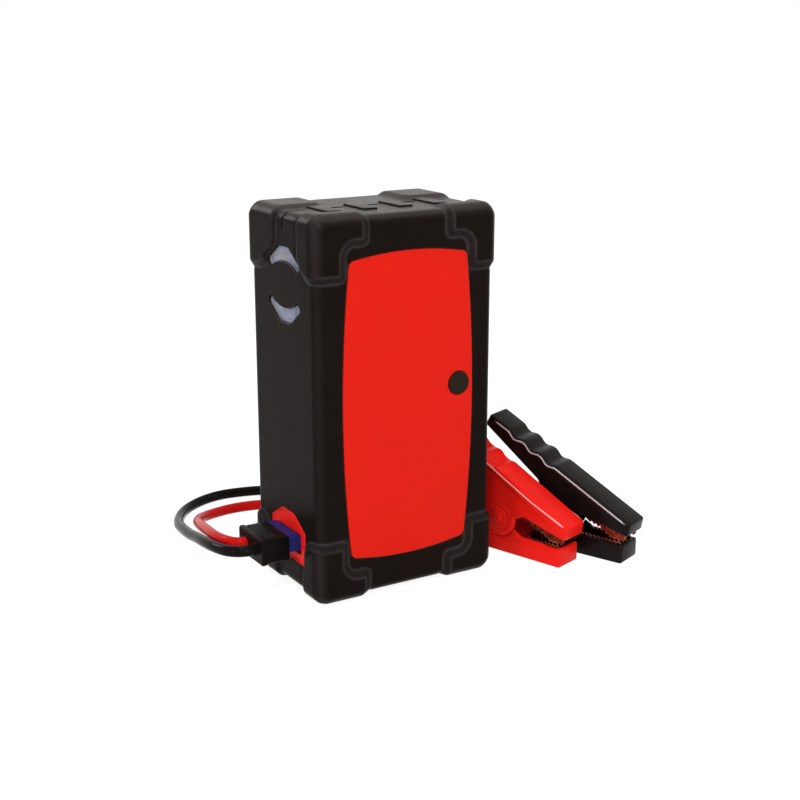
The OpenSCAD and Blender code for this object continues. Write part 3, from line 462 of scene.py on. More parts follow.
def arc(centre, radius, a0, a1, steps):
    """Points on a circle as sharp corners (x, z, 0) for fillet; angles in degrees."""
    angles = np.radians(np.linspace(a0, a1, steps + 1))
    return [(centre[0] + radius * math.cos(a), centre[1] + radius * math.sin(a), 0) for a in angles]


def inset(line, amount):
    """Closed polygon moved inwards by amount, by its corners' normals."""
    line = np.asarray(line, float)
    area = 0.5 * np.sum(line[:, 0] * np.roll(line[:, 1], -1) - np.roll(line[:, 0], -1) * line[:, 1])
    step = np.roll(line, -1, 0) - line
    step /= np.maximum(np.linalg.norm(step, axis=1, keepdims=True), 1e-9)
    normal = np.stack([-step[:, 1], step[:, 0]], 1) * np.sign(area)
    both = normal + np.roll(normal, 1, 0)
    both /= np.maximum(np.linalg.norm(both, axis=1, keepdims=True), 1e-9)
    grow = 1 / np.maximum(np.sum(both * normal, axis=1), 0.5)
    return line + both * (amount * grow)[:, None]


def rings_mesh(name, rings, material, smooth, place):
    """Closed solid through rings of equal counts, with flat caps."""
    count = len(rings[0])
    points = np.concatenate(rings)
    faces = []
    for i in range(len(rings) - 1):
        for k in range(count):
            a, b = i * count + k, i * count + (k + 1) % count
            faces.append((a, b, b + count, a + count))
    faces.append(tuple(range(count - 1, -1, -1)))
    last = (len(rings) - 1) * count
    faces.append(tuple(last + k for k in range(count)))
    return mesh_object(name, points, faces, material, smooth, place)


AXES = {"x": (1, 2, 0), "y": (0, 2, 1), "z": (0, 1, 2)}


def stack(name, steps, material, axis="x", smooth=35, place=None):
    """Solid through outlines of equal counts, each at its own height along the axis."""
    u, v, w = AXES[axis]
    rings = []
    for height, line in steps:
        points = np.zeros((len(line), 3))
        points[:, u], points[:, v], points[:, w] = line[:, 0], line[:, 1], height
        rings.append(points)
    return rings_mesh(name, rings, material, smooth, place)


def slab(name, line, low, high, material, axis="y", r_low=0.0, r_high=None, steps=4):
    """Prism of an outline in the other two axes, with rounded rims."""
    r_high = r_low if r_high is None else r_high
    line = np.asarray(line, float)
    rings = [(low + r_low, line), (high - r_high, line)]
    for a in (math.pi / 2 * k / steps for k in range(steps - 1, -1, -1)):
        in_part, end_part = 1 - math.sin(a), 1 - math.cos(a)
        if r_low:
            rings.insert(0, (low + r_low * end_part, inset(line, r_low * in_part)))
        if r_high:
            rings.append((high - r_high * end_part, inset(line, r_high * in_part)))
    return stack(name, rings, material, axis)


def flared(name, line, start, end, axis, rim, chamfer, material):
    """Cutter for a hole: the outline, opening by chamfer at the depth called rim."""
    way = 1 if end > start else -1
    rings = [(start, inset(line, -chamfer - abs(rim - start))), (rim + way * chamfer, line), (end, line)]
    return stack(name, rings, material, axis)


def box(name, low, high, material):
    line = [(low[0], low[1]), (high[0], low[1]), (high[0], high[1]), (low[0], high[1])]
    return slab(name, line, low[2], high[2], material, "z")


def rect(w, h, r, cx=0.0, cz=0.0):
    return fillet([(cx + a * w / 2, cz + b * h / 2) for a, b in SQUARE], r)


def circle(r, cx=0.0, cz=0.0, steps=48):
    a = np.linspace(0, 2 * math.pi, steps, endpoint=False)
    return np.stack([cx + r * np.cos(a), cz + r * np.sin(a)], 1)


def lathe(name, profile, material, axis="y", centre=(0, 0, 0), steps=64, place=None):
    """Solid of revolution from (radius, height) pairs."""
    u, v, _ = AXES[axis]
    rings = [(height, circle(max(radius, 0.01), centre[u], centre[v], steps)) for radius, height in profile]
    return stack(name, rings, material, axis, place=place)


def smooth_path(points, step=2.0, ease=0):
    """Curve through the points, evenly spaced, then eased."""
    p = np.asarray(points, float)
    full = np.concatenate([[2 * p[0] - p[1]], p, [2 * p[-1] - p[-2]]])
    fine = []
    for i in range(1, len(full) - 2):
        p0, p1, p2, p3 = full[i - 1:i + 3]
        d = [max(np.linalg.norm(b - a), 1e-6) ** 0.5 for a, b in ((p0, p1), (p1, p2), (p2, p3))]
        m1 = (p2 - p1) + d[1] * ((p1 - p0) / d[0] - (p2 - p0) / (d[0] + d[1]))
        m2 = (p2 - p1) + d[1] * ((p3 - p2) / d[2] - (p3 - p1) / (d[1] + d[2]))
        for t in np.linspace(0, 1, 16, endpoint=False):
            fine.append((2 * t**3 - 3 * t**2 + 1) * p1 + (t**3 - 2 * t**2 + t) * m1
                + (3 * t**2 - 2 * t**3) * p2 + (t**3 - t**2) * m2)
    fine = np.array(fine + [p[-1]])
    fine = spaced(fine, step)
    for _ in range(ease):
        fine[2:-2] = 0.25 * fine[1:-3] + 0.5 * fine[2:-2] + 0.25 * fine[3:-1]
    return spaced(fine, step)


def spaced(line, step):
    """The same path with points at even distances."""
    run = np.concatenate([[0], np.cumsum(np.linalg.norm(np.diff(line, axis=0), axis=1))])
    at = np.linspace(0, run[-1], max(int(round(run[-1] / step)), 2) + 1)
    return np.stack([np.interp(at, run, line[:, k]) for k in range(3)], 1)


def tube(name, path, radius, material, sides=24, place=None):
    """Round strand along a path; radius may be one number or one per point."""
    path = np.asarray(path, float)
    radius = np.broadcast_to(radius, (len(path),))
    along = np.gradient(path, axis=0)
    along /= np.linalg.norm(along, axis=1, keepdims=True)
    up = np.array([0, 0, 1.0]) if abs(along[0][2]) < 0.9 else np.array([1.0, 0, 0])
    side = np.cross(up, along[0])
    rings = []
    a = np.linspace(0, 2 * math.pi, sides, endpoint=False)
    for p, t, r in zip(path, along, radius):
        side = side - t * (side @ t)
        side /= np.linalg.norm(side)
        high = np.cross(t, side)
        rings.append(p + r * (np.cos(a)[:, None] * side + np.sin(a)[:, None] * high))
    return rings_mesh(name, rings, material, 60, place)


def settle(obj, body, *nodes, slot=None):
    """obj stands for these nodes and rides on the body."""
    if nodes:
        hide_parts(*nodes)
    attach(obj, body)
    return obj


# ---------- cords ----------

HOOD_REAR, PLUG_Y, SOCKET_Z = -84.8, -1.0, 31.0
CABLE_R, CABLE_STEP = 3.4, 1.5
RED_POSE, BLACK_POSE = (106.5, -62, 108), (144, -76, 112)  # x and y of the nose, turn in degrees


def posed(pose):
    """Turns points (distance from nose, side, height) into the shared frame."""
    c, s = math.cos(math.radians(pose[2])), math.sin(math.radians(pose[2]))
    turn = np.array([[c, s, 0], [-s, c, 0], [0, 0, 1]])
    return lambda points: np.asarray(points, float) @ turn + (pose[0], pose[1], 0)


INTO_CLAMP = [(130, 0, 3.5), (120, 0, 4.7), (111, 0, 5.8), (102, 0, 6.6), (90.5, 0, 7.9), (82.5, 0, 7.9)]
BLACK_ROUTE = [
    (-84.8, -8, 31), (-89.8, -8, 31), (-95, -6, 31), (-99, 1, 30), (-101, 14, 28.5), (-100, 32, 25.5),
    (-97, 51, 21.5), (-94, 70, 17), (-90, 90, 13), (-85, 110, 9), (-77, 129, 6), (-66, 146, 4),
    (-51, 158, 3.5), (-33, 164, 3.5), (-14, 162, 3.5), (4, 156, 3.5), (22, 148, 3.5), (40, 137, 3.5),
    (57, 123, 3.5), (71, 107, 3.5), (82, 90, 3.5), (89, 72, 3.5), (93, 56, 3.5),
] + posed(BLACK_POSE)(INTO_CLAMP).tolist()
RED_ROUTE = [
    (-84.8, 6, 31), (-87.8, 6, 31), (-91.5, 9, 31), (-93, 17, 30), (-92.5, 33, 27.5), (-89, 51, 24),
    (-85, 69, 20), (-80, 87, 15.5), (-74, 104, 11), (-65, 119, 7), (-52, 129, 4.5), (-36, 134, 3.5),
    (-19, 132, 3.5), (-3, 125, 3.5), (12, 115, 3.5), (27, 103, 3.5), (41, 91, 3.5), (53, 79, 3.5),
] + posed(RED_POSE)(INTO_CLAMP).tolist()


def make_cables():
    for tool, route, material in (("black", BLACK_ROUTE, CABLE_BLACK), ("red", RED_ROUTE, CABLE_RED)):
        path = smooth_path(route, CABLE_STEP, 10)
        cable = tube(tool + "_lead", path, CABLE_R, material)
        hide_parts(tool + "_cable")
        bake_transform(cable)


make_cables()


# ---------- case ----------

HALF_X, HALF_Y, LOW_Z, HIGH_Z, BODY_R, WALL, GUARD = 59.8, 41.3, 2.2, 227.8, 6.8, 3.0, 2.2
OVER_X, OVER_Y, HEIGHT = HALF_X + GUARD, HALF_Y + GUARD, HIGH_Z + GUARD
SLOPE_FRONT, SLOPE_SIDE = 4.8, 3.8  # width of the guards' slopes on the front and on the side walls
CORE_LOW = np.array([-HALF_X, -HALF_Y, LOW_Z]) + BODY_R
CORE_HIGH = np.array([HALF_X, HALF_Y, HIGH_Z]) - BODY_R
TONGUE_PITCH, TONGUE_W, TONGUE_D, TONGUE_Y, MOAT = 23.7, 9, 25, -7.5, 0.6
POSTS = [(x, z) for x in (-51.6, 51.6) for z in (10.5, 115, 219.5)]
POST_R, SCREW_BORE, SCREW_HOLE, HEAD_HOLE = 4.8, 1.5, 1.65, 3.15
BUTTON_AT, BUTTON_HOLE = (35, 0, 124), 7.3
PANEL_W, PANEL_H, PANEL_AT, PANEL_BACK = 88, 183, (0.8, 115), -40.5
LAMP = np.array([SEAM, 186.0])


def graded(low, high, coarse, zones):
    """Grid lines from low to high: fine inside the zones (from, to, step)."""
    marks = {round(low, 3), round(high, 3)}
    for a, b, step in zones:
        a, b = max(a, low), min(b, high)
        if b > a:
            for v in np.linspace(a, b, int(math.ceil((b - a) / step)) + 1):
                marks.add(round(float(v), 3))
    marks = sorted(marks)
    out = [marks[0]]
    for a, b in zip(marks, marks[1:]):
        if b - a < 0.12 and b != marks[-1]:
            continue
        n = max(int(math.ceil((b - a) / coarse)), 1)
        out += [a + (b - a) * k / n for k in range(1, n + 1)]
    return np.array(sorted({round(v, 4) for v in out}))


def grid_box(grid):
    """Points and faces of a closed box with grid lines along each axis."""
    index, faces = {}, []
    for a, b, c in ((0, 1, 2), (0, 2, 1), (1, 2, 0)):
        for i in range(len(grid[a]) - 1):
            for j in range(len(grid[b]) - 1):
                for k in (0, len(grid[c]) - 1):
                    face = []
                    for u, v in ((i, j), (i + 1, j), (i + 1, j + 1), (i, j + 1)):
                        key = [0, 0, 0]
                        key[a], key[b], key[c] = u, v, k
                        face.append(index.setdefault(tuple(key), len(index)))
                    faces.append(face)
    return np.array([[line[n] for line, n in zip(grid, key)] for key in index]), faces


def corner_block(u, v, w, h, r):
    """Distance outside the corner block [0..w] x [0..h], rounded at (w, h)."""
    qx, qy = u - w + r, v - h + r
    return np.hypot(np.maximum(qx, 0), np.maximum(qy, 0)) + np.minimum(np.maximum(qx, qy), 0) - r


def round_union(a, b, r):
    """Distance outside two joined forms, with a radius in their inner corner."""
    ua, ub = np.maximum(r - a, 0), np.maximum(r - b, 0)
    return np.maximum(r, np.minimum(a, b)) - np.hypot(ua, ub)


def guard_depth(x, y, z):
    """How far inside the corner guards' foot lines a point of the outer skin lies."""
    u, w, v = OVER_X - np.abs(x), OVER_Y - np.abs(y), np.minimum(z, HEIGHT - z)
    rear = y > 0
    deep = rear & (z > HEIGHT / 2)
    front = round_union(corner_block(u, v, 36.5, 19, 4), corner_block(u, v, 21.5, 39, 4), 6)
    under = round_union(corner_block(w, v, 22, 39, 12), corner_block(w, v, 34, 17, 6), 5)
    side = np.where(rear, under, corner_block(w, v, 24, 39, 17))
    side = np.where(deep, corner_block(w, v, 40, 39, 30), side)
    foot = np.where(rear, corner_block(u, w, 13, 34, 3), corner_block(u, w, 13, 24, 3))
    end = round_union(corner_block(u, w, 36.5, 18, 3), foot, 4)
    end = np.where(deep, corner_block(u, w, 36.5, 38.5, 10), end)
    return -np.maximum(np.maximum(front, side), end)


def ramp(s, ease=0.07):
    """0 up to 1 along a straight slope with eased ends."""
    return 0.5 * (1 + np.hypot(s, ease) - np.hypot(s - 1, ease))


def facets(normal):
    """Radius of the case's corners in each direction: flats with slanted edges."""
    size = np.sort(np.abs(normal), axis=1)
    flat, slant = 1 / size[:, 2], 1.48 / (size[:, 2] + size[:, 1])
    near = np.maximum(0.05 - np.abs(flat - slant), 0) / 0.05
    shape = np.minimum(flat, slant) - near ** 2 * 0.05 / 4
    corner = np.clip((size[:, 0] / 0.577 - 0.1) / 0.7, 0, 1)
    corner = corner * corner * (3 - 2 * corner)
    return 1 + 0.3 * (shape - 1) * (1 - corner)


def case_skin():
    """Closed skin of the whole case with its guards, on a grid that is finer along their slopes."""
    gx = [(18.5, 33, 0.75), (36.5, 47, 0.75), (52, HALF_X, 0.6)]
    xs = [(s * a, s * b, c) if s > 0 else (-b, -a, c) for a, b, c in gx for s in (1, -1)]
    ys = [(-HALF_Y, -34, 0.6), (-34, -18, 0.8), (2, 34, 0.8), (34, HALF_Y, 0.6), (SEAM - 1, SEAM + 1, 0.25)]
    zs = [(LOW_Z, 9.5, 0.6), (9.5, 42, 0.8), (188, 220.5, 0.8), (220.5, HIGH_Z, 0.6)]
    grid = (graded(-HALF_X, HALF_X, 3, xs), graded(-HALF_Y, HALF_Y, 3, ys), graded(LOW_Z, HIGH_Z, 3, zs))
    p, faces = grid_box(grid)
    core = np.clip(p, CORE_LOW, CORE_HIGH)
    way = p - core
    normal = way / np.linalg.norm(way, axis=1, keepdims=True)
    shape = facets(normal)[:, None] * normal
    skin = core + (BODY_R + GUARD) * shape
    depth = guard_depth(*skin.T)
    wide = SLOPE_FRONT - (SLOPE_FRONT - SLOPE_SIDE) * np.clip((np.abs(normal[:, 0]) - 0.5) * 4, 0, 1)
    rise = GUARD * ramp(depth / wide) - 0.3 * np.exp(-((depth + 0.9) / 0.55) ** 2)
    slot = (p[:, 2] > 217) & (np.abs(p[:, 0]) > 45)
    rise -= np.where(slot, 1.5, 0) * np.clip(1.9 - np.abs(p[:, 1] - SEAM) / 0.4, 0, 1)
    return mesh_object("case_skin", core + (BODY_R + rise)[:, None] * shape, faces, BLACK, 40)


def paint_guard_wear_and_highlights(mesh):
    """Marks the guards' slopes with their two edges, and all rounded edges and corners, for the wear colour:
    partly rubbed wear, partly painted highlights along these edges and corners.
    """
    p = np.array([v.co[:] for v in mesh.vertices]) / MM
    away = p - np.clip(p, CORE_LOW, CORE_HIGH)
    reach = np.linalg.norm(away, axis=1)
    outside = reach > BODY_R - 0.8
    least, middle, most = (np.sort(np.abs(away), axis=1) / np.maximum(reach, 0.1)[:, None]).T
    rounded, corner = (2 * middle * most) ** 4, (least / 0.577) ** 2
    s = guard_depth(*p.T) / np.where(np.abs(p[:, 0]) > HALF_X - 0.8, SLOPE_SIDE, SLOPE_FRONT)
    # Thin light lines at the slopes' foot and top, and a lighter band between them: painted highlights of the
    # slopes.
    on = 0.12 * ((s > 0) & (s < 1)) + 0.4 * np.exp(-((s - 1) / 0.14) ** 2) + 0.45 * np.exp(-(s / 0.14) ** 2)
    # Lighter rounded edges and corners, strong on the guards and faint on the body: painted soft highlights,
    # partly rubbed wear.
    on = np.maximum(on, np.where(s > 0.9, 0.22 * rounded + 0.36 * corner, 0.09 * rounded))
    wear_and_highlight_mask = mesh.attributes.new("guard_wear_and_highlight", "FLOAT", "POINT")
    wear_and_highlight_mask.data.foreach_set("value", np.clip(on, 0, 1) * outside)


def windows_line(grow=0.0, way=1):
    """Outline (y, z) of the upper light window, a wedge with a curved side; way -1 gives the lower."""
    side = [(-6.93 - 0.4 * grow, 22.2 + grow), (-19.8 - grow, 13.32 + grow / 2),
        (-19.8 - grow, 11.15 - grow / 2), (-16.5 - 0.2 * grow, 8.3 - 0.7 * grow)]
    r, cz = 29 - grow, -15.7
    a = math.degrees(math.acos(16.2 / r))
    curve = [p[:2] for p in arc((0, cz), r, 180 - a, a, 14)]
    line = fillet(side + curve + [(-y, z) for y, z in side[::-1]], 0.7, 2)
    return line * (1, way) + LAMP


def recess_line(grow=0.0):
    """Outline (y, z) of the socket's recess: upright, with slanted upper corners."""
    half, low, top = 22 + grow, 19 - grow, 49 + grow
    slant = top - 8.5
    line = [(-half, low), (half, low), (half, slant), (half * 0.36, top), (-half * 0.36, top), (-half, slant)]
    return fillet(line, 1.2, 4) + (PLUG_Y, 0)


def panel_line(grow=0.0):
    """Outline (x, z) of the red panel: four bulging sides between round corners."""
    side, top, r = 4.5, 3.2, 4
    cx, cz = PANEL_W / 2 - side - r, PANEL_H / 2 - top - r
    steps = [i / 24 for i in range(-23, 24)]
    points = []
    for s in (1, -1):
        start = 90 - 90 * s
        points += [(s * (cx + r + side * (1 - t * t)), s * t * cz) for t in steps]
        points += arc((s * cx, s * cz), r, start, start + 90, 10)
        points += [(-s * t * cx, s * (cz + r + top * (1 - t * t))) for t in steps]
        points += arc((-s * cx, s * cz), r, start + 90, start + 180, 10)
    line = np.array([p[:2] for p in points])
    return line * (1 + 2 * grow / PANEL_W, 1 + 2 * grow / PANEL_H) + PANEL_AT


def make_case():
    skin = case_skin()
    room = rect(2 * (HALF_X - WALL), 2 * (HALF_Y - WALL), BODY_R - WALL)
    cut(skin, slab("cavity", room, LOW_Z + WALL, HIGH_Z - WALL, BLACK, "z", 1.5))
    for way in (1, -1):
        cut(skin, flared("window", windows_line(0, way), -64, -50, "x", -HALF_X, 0.12, BLACK))
    cut(skin, flared("recess", recess_line(), -66, -50, "x", -HALF_X, 0.7, BLACK))
    cut(skin, flared("pocket", panel_line(0.15), -46, PANEL_BACK, "y", -HALF_Y, 0.3, BLACK))
    cut(skin, lathe("hole", [(BUTTON_HOLE, -48), (BUTTON_HOLE, -30)], BLACK, "y", BUTTON_AT))
    tongues = [TONGUE_PITCH * (i - 1.5) for i in range(4)]
    for x in tongues:
        moat = rect(TONGUE_W + 2 * MOAT, TONGUE_D + 2 * MOAT, 1.3, x, TONGUE_Y)
        cut(skin, slab("moat", moat, HIGH_Z - 0.9, 236, BLACK, "z"))
    for i in (-1, 0, 1):
        slot = rect(9.6, 3.4, 1.2, TONGUE_PITCH * i, SEAM)
        cut(skin, slab("slot", slot, HIGH_Z - 1.4, 236, BLACK, "z"))
    rear = twin(skin)
    half = box("half", (-80, -80, -10), (80, SEAM, 240), BLACK)
    other = twin(half)
    cut(skin, half, how="INTERSECT")
    cut(rear, other)
    for x, z in POSTS:
        for shell, how, profile, steps in (
            (skin, "UNION", [(POST_R, -38.5), (POST_R, SEAM)], 32),
            (skin, "DIFFERENCE", [(SCREW_BORE, -15), (SCREW_BORE, SEAM + 1)], 24),
            (rear, "UNION", [(POST_R, SEAM), (POST_R, 38.5)], 32),
            (rear, "DIFFERENCE", [(SCREW_HOLE, SEAM - 1), (SCREW_HOLE, 7)], 24),
            (rear, "DIFFERENCE", [(HEAD_HOLE, 6), (HEAD_HOLE, 40.9), (3.75, 41.5), (6, 46)], 32),
        ):
            cut(shell, lathe("post", profile, BLACK, "y", (x, 0, z), steps), how=how)
    for x in tongues:
        tongue = rect(TONGUE_W, TONGUE_D, 0.8, x, TONGUE_Y)
        join(skin, slab("tongue", tongue, HIGH_Z - 0.89, HIGH_Z + 1, BLACK, "z", 0.0, 0.35))
    for shell, word in ((skin, "front"), (rear, "rear")):
        paint_guard_wear_and_highlights(shell.data)
        shell.name = f"case_{word}_half"
        settle(shell, "case", word + "_shell", slot="case_black")


make_case()


def make_panel():
    panel = slab("red_front_panel", panel_line(), -41.7, PANEL_BACK, PANEL_RED, "y", 0.3, 0.0)
    hole = [(8.4, -43), (BUTTON_HOLE, -41.5), (BUTTON_HOLE, -39)]
    cut(panel, lathe("hole", hole, PANEL_RED, "y", BUTTON_AT))
    settle(panel, "case", "front_panel", slot="panel_red")
    profile = [(0, -42.35), (3.4, -42.4), (5.2, -42.62), (5.9, -42.8), (6.5, -42.74), (6.9, -42.5),
        (7.1, -42.1), (7.1, -38.3), (8.7, -38.3), (8.7, -37.1), (2.6, -37.1), (2.6, -33.35), (0, -33.3)]
    button = lathe("power_button_cap", profile, BUTTON, "y", BUTTON_AT)
    settle(button, "button", "power_button", slot="button_black")


make_panel()


# ---------- lamp ----------

def make_reflector():
    low, high = box_of("lamp_reflector")
    plate = rect(high[1] - low[1], high[2] - low[2], 1.0, *LAMP)
    shell = slab("lamp_reflector_shell", plate, low[0], high[0], REFLECTOR, "x", 0.3)
    for way in (1, -1):
        mouth = windows_line(0.2, way)
        heart = LAMP + (0, way * 16.6)
        flat = heart + (mouth - heart) * (0.6, 0.5)
        knee = heart + (mouth - heart) * (0.91, 0.84)
        funnel = [(low[0] - 1, mouth), (low[0] + 0.5, mouth), (low[0] + 1.6, knee), (high[0] - 1.2, flat),
            (high[0] + 1, flat)]
        cut(shell, stack("funnel", funnel, REFLECTOR, smooth=20), smooth=20)
    settle(shell, "case", "lamp_reflector", slot="reflector_silver")


def make_lens():
    low, high = box_of("lamp_lens")
    plate = rect(high[1] - low[1], high[2] - low[2], 1.0, *LAMP)
    lens = slab("lamp_cover", plate, high[0] - 1.35, high[0], LENS, "x", 0.2)
    for way in (1, -1):
        front = inset(windows_line(0, way), 0.18)
        rim = [(low[0] + x, inset(front, amount)) for x, amount in ((0, 0.7), (0.15, 0.35), (0.5, 0.08))]
        join(lens, stack("window", rim + [(low[0] + 0.8, front), (high[0] - 0.6, front)], LENS))
    settle(lens, "case", "lamp_lens", slot="lens_clear")


def make_leds():
    x = box_of("lamp_leds")[0][0]
    dome = [(1.65, x + 0.5), (1.5, x + 0.22), (1.1, x + 0.06), (0, x)]
    chips = []
    for side in (-6, 6):
        for rise in (-17.75, 17.75):
            y, z = LAMP + (side, rise)
            chip = slab("led", rect(4, 4, 0.4, y, z), x + 0.35, x + 1, LED, "x", 0.1)
            chips.append(join(chip, lathe("dome", dome, LED, "x", (0, y, z), 24)))
    whole = join(*chips)
    whole.name = "lamp_led_chips"
    settle(whole, "case", "lamp_leds", slot="led_yellow")


make_reflector()
make_lens()
make_leds()


# ---------- plug ----------

POLES = (-7, 7)
PLUG_REAR, HOOD_FRONT, CORE_REAR, CORE_TIP = -84.0, -66.8, -76.7, -46.8


def across(w, h, r, side=0.0, rise=0.0):
    """Rectangle (y, z) about the line of the plug and the socket."""
    return rect(w, h, r, PLUG_Y + side, SOCKET_Z + rise)


def make_plug():
    hood = slab("plug_hood_shell", across(32, 15, 1.8), PLUG_REAR, HOOD_FRONT, PLUG_BLACK, "x", 0.0, 0.6)
    join(hood, slab("band", across(33, 16.4, 2.2), HOOD_REAR, -81.6, PLUG_BLACK, "x", 1.1, 0.5))
    for x in (-79.6, -77.6, -75.6, -73.6):
        join(hood, slab("rib", across(28.4, 15.9, 0.5), x - 0.55, x + 0.55, PLUG_BLACK, "x", 0.3))
    cut(hood, slab("core", across(29.5, 12, 0), CORE_REAR, -60, PLUG_BLACK, "x"))
    for side in POLES:
        bore = [(3.3, -86), (3.3, -76)]
        cut(hood, lathe("bore", bore, PLUG_BLACK, "x", (0, PLUG_Y + side, SOCKET_Z), 40))
    settle(hood, "plug", "plug_hood", slot="plug_black")
    core = slab("plug_core", across(29.5, 12, 0.8), CORE_REAR, CORE_TIP, BLUE, "x", 0.0, 0.8)
    cut(core, slab("step", across(40, 8, 0.01, 0, -7), -66.7, -45, BLUE, "x"))
    join(core, slab("collar", across(29.5, 10.3, 0.8, 0, 2.15), -66.75, -60.2, BLUE, "x", 0.0, 0.4))
    for side in (-4, 4):
        cut(core, slab("groove", across(1.6, 1.2, 0.2, side, 7.3), -64.6, -45, BLUE, "x"))
    for side in POLES:
        bore = circle(3.36, PLUG_Y + side, SOCKET_Z)
        cut(core, flared("bore", bore, -45, -73.7, "x", CORE_TIP, 0.6, BLUE))
    settle(core, "plug", "plug_insert", slot="socket_blue")


def make_socket():
    tray = slab("socket_tray_plate", recess_line(-0.25), -59.45, -55.7, TRAY_RED, "x", 0.35, 0.0)
    cut(tray, slab("face", recess_line(-1.1), -62, -58.85, TRAY_RED, "x"))
    join(tray, slab("flange", recess_line(1.6), -56.75, -55.65, TRAY_RED, "x"))
    cut(tray, slab("mouth", across(30.3, 12.8, 0.8), -62, -54, TRAY_RED, "x"))
    settle(tray, "case", "socket_tray", slot="tray_red")
    back = box_of("socket_body")[1][0]
    body = slab("socket_shell", across(34.4, 16.9, 1.0), -55.6, back, BLUE, "x", 0.0, 0.5)
    join(body, slab("flange", across(41.3, 23.8, 1.0), -55.55, -53.7, BLUE, "x"))
    cut(body, slab("cavity", across(30.0, 12.5, 0.8), -60, -44.8, BLUE, "x"))
    for side in POLES:
        bore = [(2.6, -50), (2.6, back + 1)]
        cut(body, lathe("bore", bore, BLUE, "x", (0, PLUG_Y + side, SOCKET_Z), 32))
    settle(body, "case", "socket_body", slot="socket_blue")


make_plug()
make_socket()


# ---------- clamps ----------

PIVOT = np.array([48.5, 22.5])
SLOPE = math.radians(27.4)
ALONG = np.array([math.cos(SLOPE), math.sin(SLOPE)])
INTO = np.array([math.sin(SLOPE), -math.cos(SLOPE)])
RIDGE_A, RIDGE_L, TAIL_H, ROOF_T = np.array([-4.7, 27.3]), 118.5, 8.5, 4.2
WAVES, WAVE_DEPTH, WAVE_HALF = (67, 81.2, 95.4), 2.0, 6.6
OUT_HALF, IN_HALF, UPPER_EAR_R, LOWER_EAR_R = 10, 7.8, 12.5, 12.9
BORE = ((2.55, -12), (2.55, 12))
BOSS = ((6.9, 9.5), (6.9, 10.1), (6.6, 10.3), (3, 10.3))
RING = ((9.9, 9.7), (9.9, 10.05), (9.6, 10.25), (9.2, 10.25), (8.9, 10.05), (8.9, 9.7))
CAP = ((3.7, 10.5), (3.7, 10.75), (3.4, 11.0), (2.9, 11.05), (2.65, 10.9), (2.3, 11.15), (1.2, 11.4),
    (0, 11.45))
RIVET = ((0, -10.9), (2.0, -10.85), (2.5, -10.6), (2.5, 10.6), (2.0, 10.85), (0, 10.9))
WIRE, COIL_R, COIL_PITCH, COIL_TURN, SNUG = 1.8, 3.7, 1.95, 1198, 0.1


def ridge(d, h=0.0):
    """Point (x, z) at a distance along the handle's back and a depth under it."""
    return tuple(RIDGE_A + d * ALONG + h * INTO)


def hit(p, q, radius):
    """Angle at which the line from p to q crosses the circle about the pivot."""
    t = np.linspace(0, 1, 4001)[:, None]
    away = np.array(p) * (1 - t) + np.array(q) * t - PIVOT
    x, z = away[np.argmax(np.linalg.norm(away, axis=1) < radius)]
    return math.degrees(math.atan2(z, x))


def wave(d):
    """Depth of the finger waves at a distance along the ridge."""
    near = min(abs(d - w) for w in WAVES) / WAVE_HALF
    return WAVE_DEPTH * (0.5 + 0.5 * math.cos(math.pi * near)) if near < 1 else 0.0


def outline(*parts):
    """One closed line of several, without the corners' own radii."""
    return np.array([tuple(p[:2]) for part in parts for p in part])


def upper_line():
    """Side view of the upper half: waved back, tail, round ear and nose."""
    enter = hit((62.2, 34), (60.4, 24), UPPER_EAR_R)
    around = arc(PIVOT, UPPER_EAR_R, enter, 174 - 360, 30)
    back = [ridge(d, wave(d)) for d in np.linspace(4, RIDGE_L - 4, 150)]
    tail = fillet([ridge(RIDGE_L - 3), (*ridge(RIDGE_L), 2.6), (*ridge(RIDGE_L, TAIL_H), 2.6),
        (62.8, 43.2, 4), (62.2, 34, 4), around[0]], 1.0, 6)[1:-1]
    nose = fillet([around[-1], (29.3, 27.1, 4), (9.7, 21.5, 8), (-3, 18.5, 1.6), (*ridge(0), 1.8),
        (*ridge(4), 0)], 1.0, 6)[1:-1]
    return outline(back, tail, around, nose)[::-1]


def lower_line():
    """Side view of the lower half, flat on the ground."""
    start = hit((110, 6.5), (60, 16.8), LOWER_EAR_R)
    end = hit((31, 13.4), (38.5, 17.6), LOWER_EAR_R)
    around = arc(PIVOT, LOWER_EAR_R, start, end - 360 if end > 0 else end, 24)
    tail = fillet([(40, 0, 0), (110, 0, 1.2), (110, 6.5, 2), around[0]], 1, 5)[1:-1]
    nose = fillet([around[-1], (31, 13.4, 4), (15, 13.0, 4), (11, 12.4, 4), (4, 12.3, 4), (0, 12.9, 1.6),
        (0, 0, 2), (40, 0, 0)], 1, 5)[1:-1]
    return outline(tail, around, nose)


def turned(name, profile, material, steps=48, near=1, place=None):
    """Solid of revolution about the pivot, mirrored where near is -1."""
    profile = [(radius, near * y) for radius, y in profile]
    return lathe(name, profile, material, "y", (PIVOT[0], 0, PIVOT[1]), steps, place)


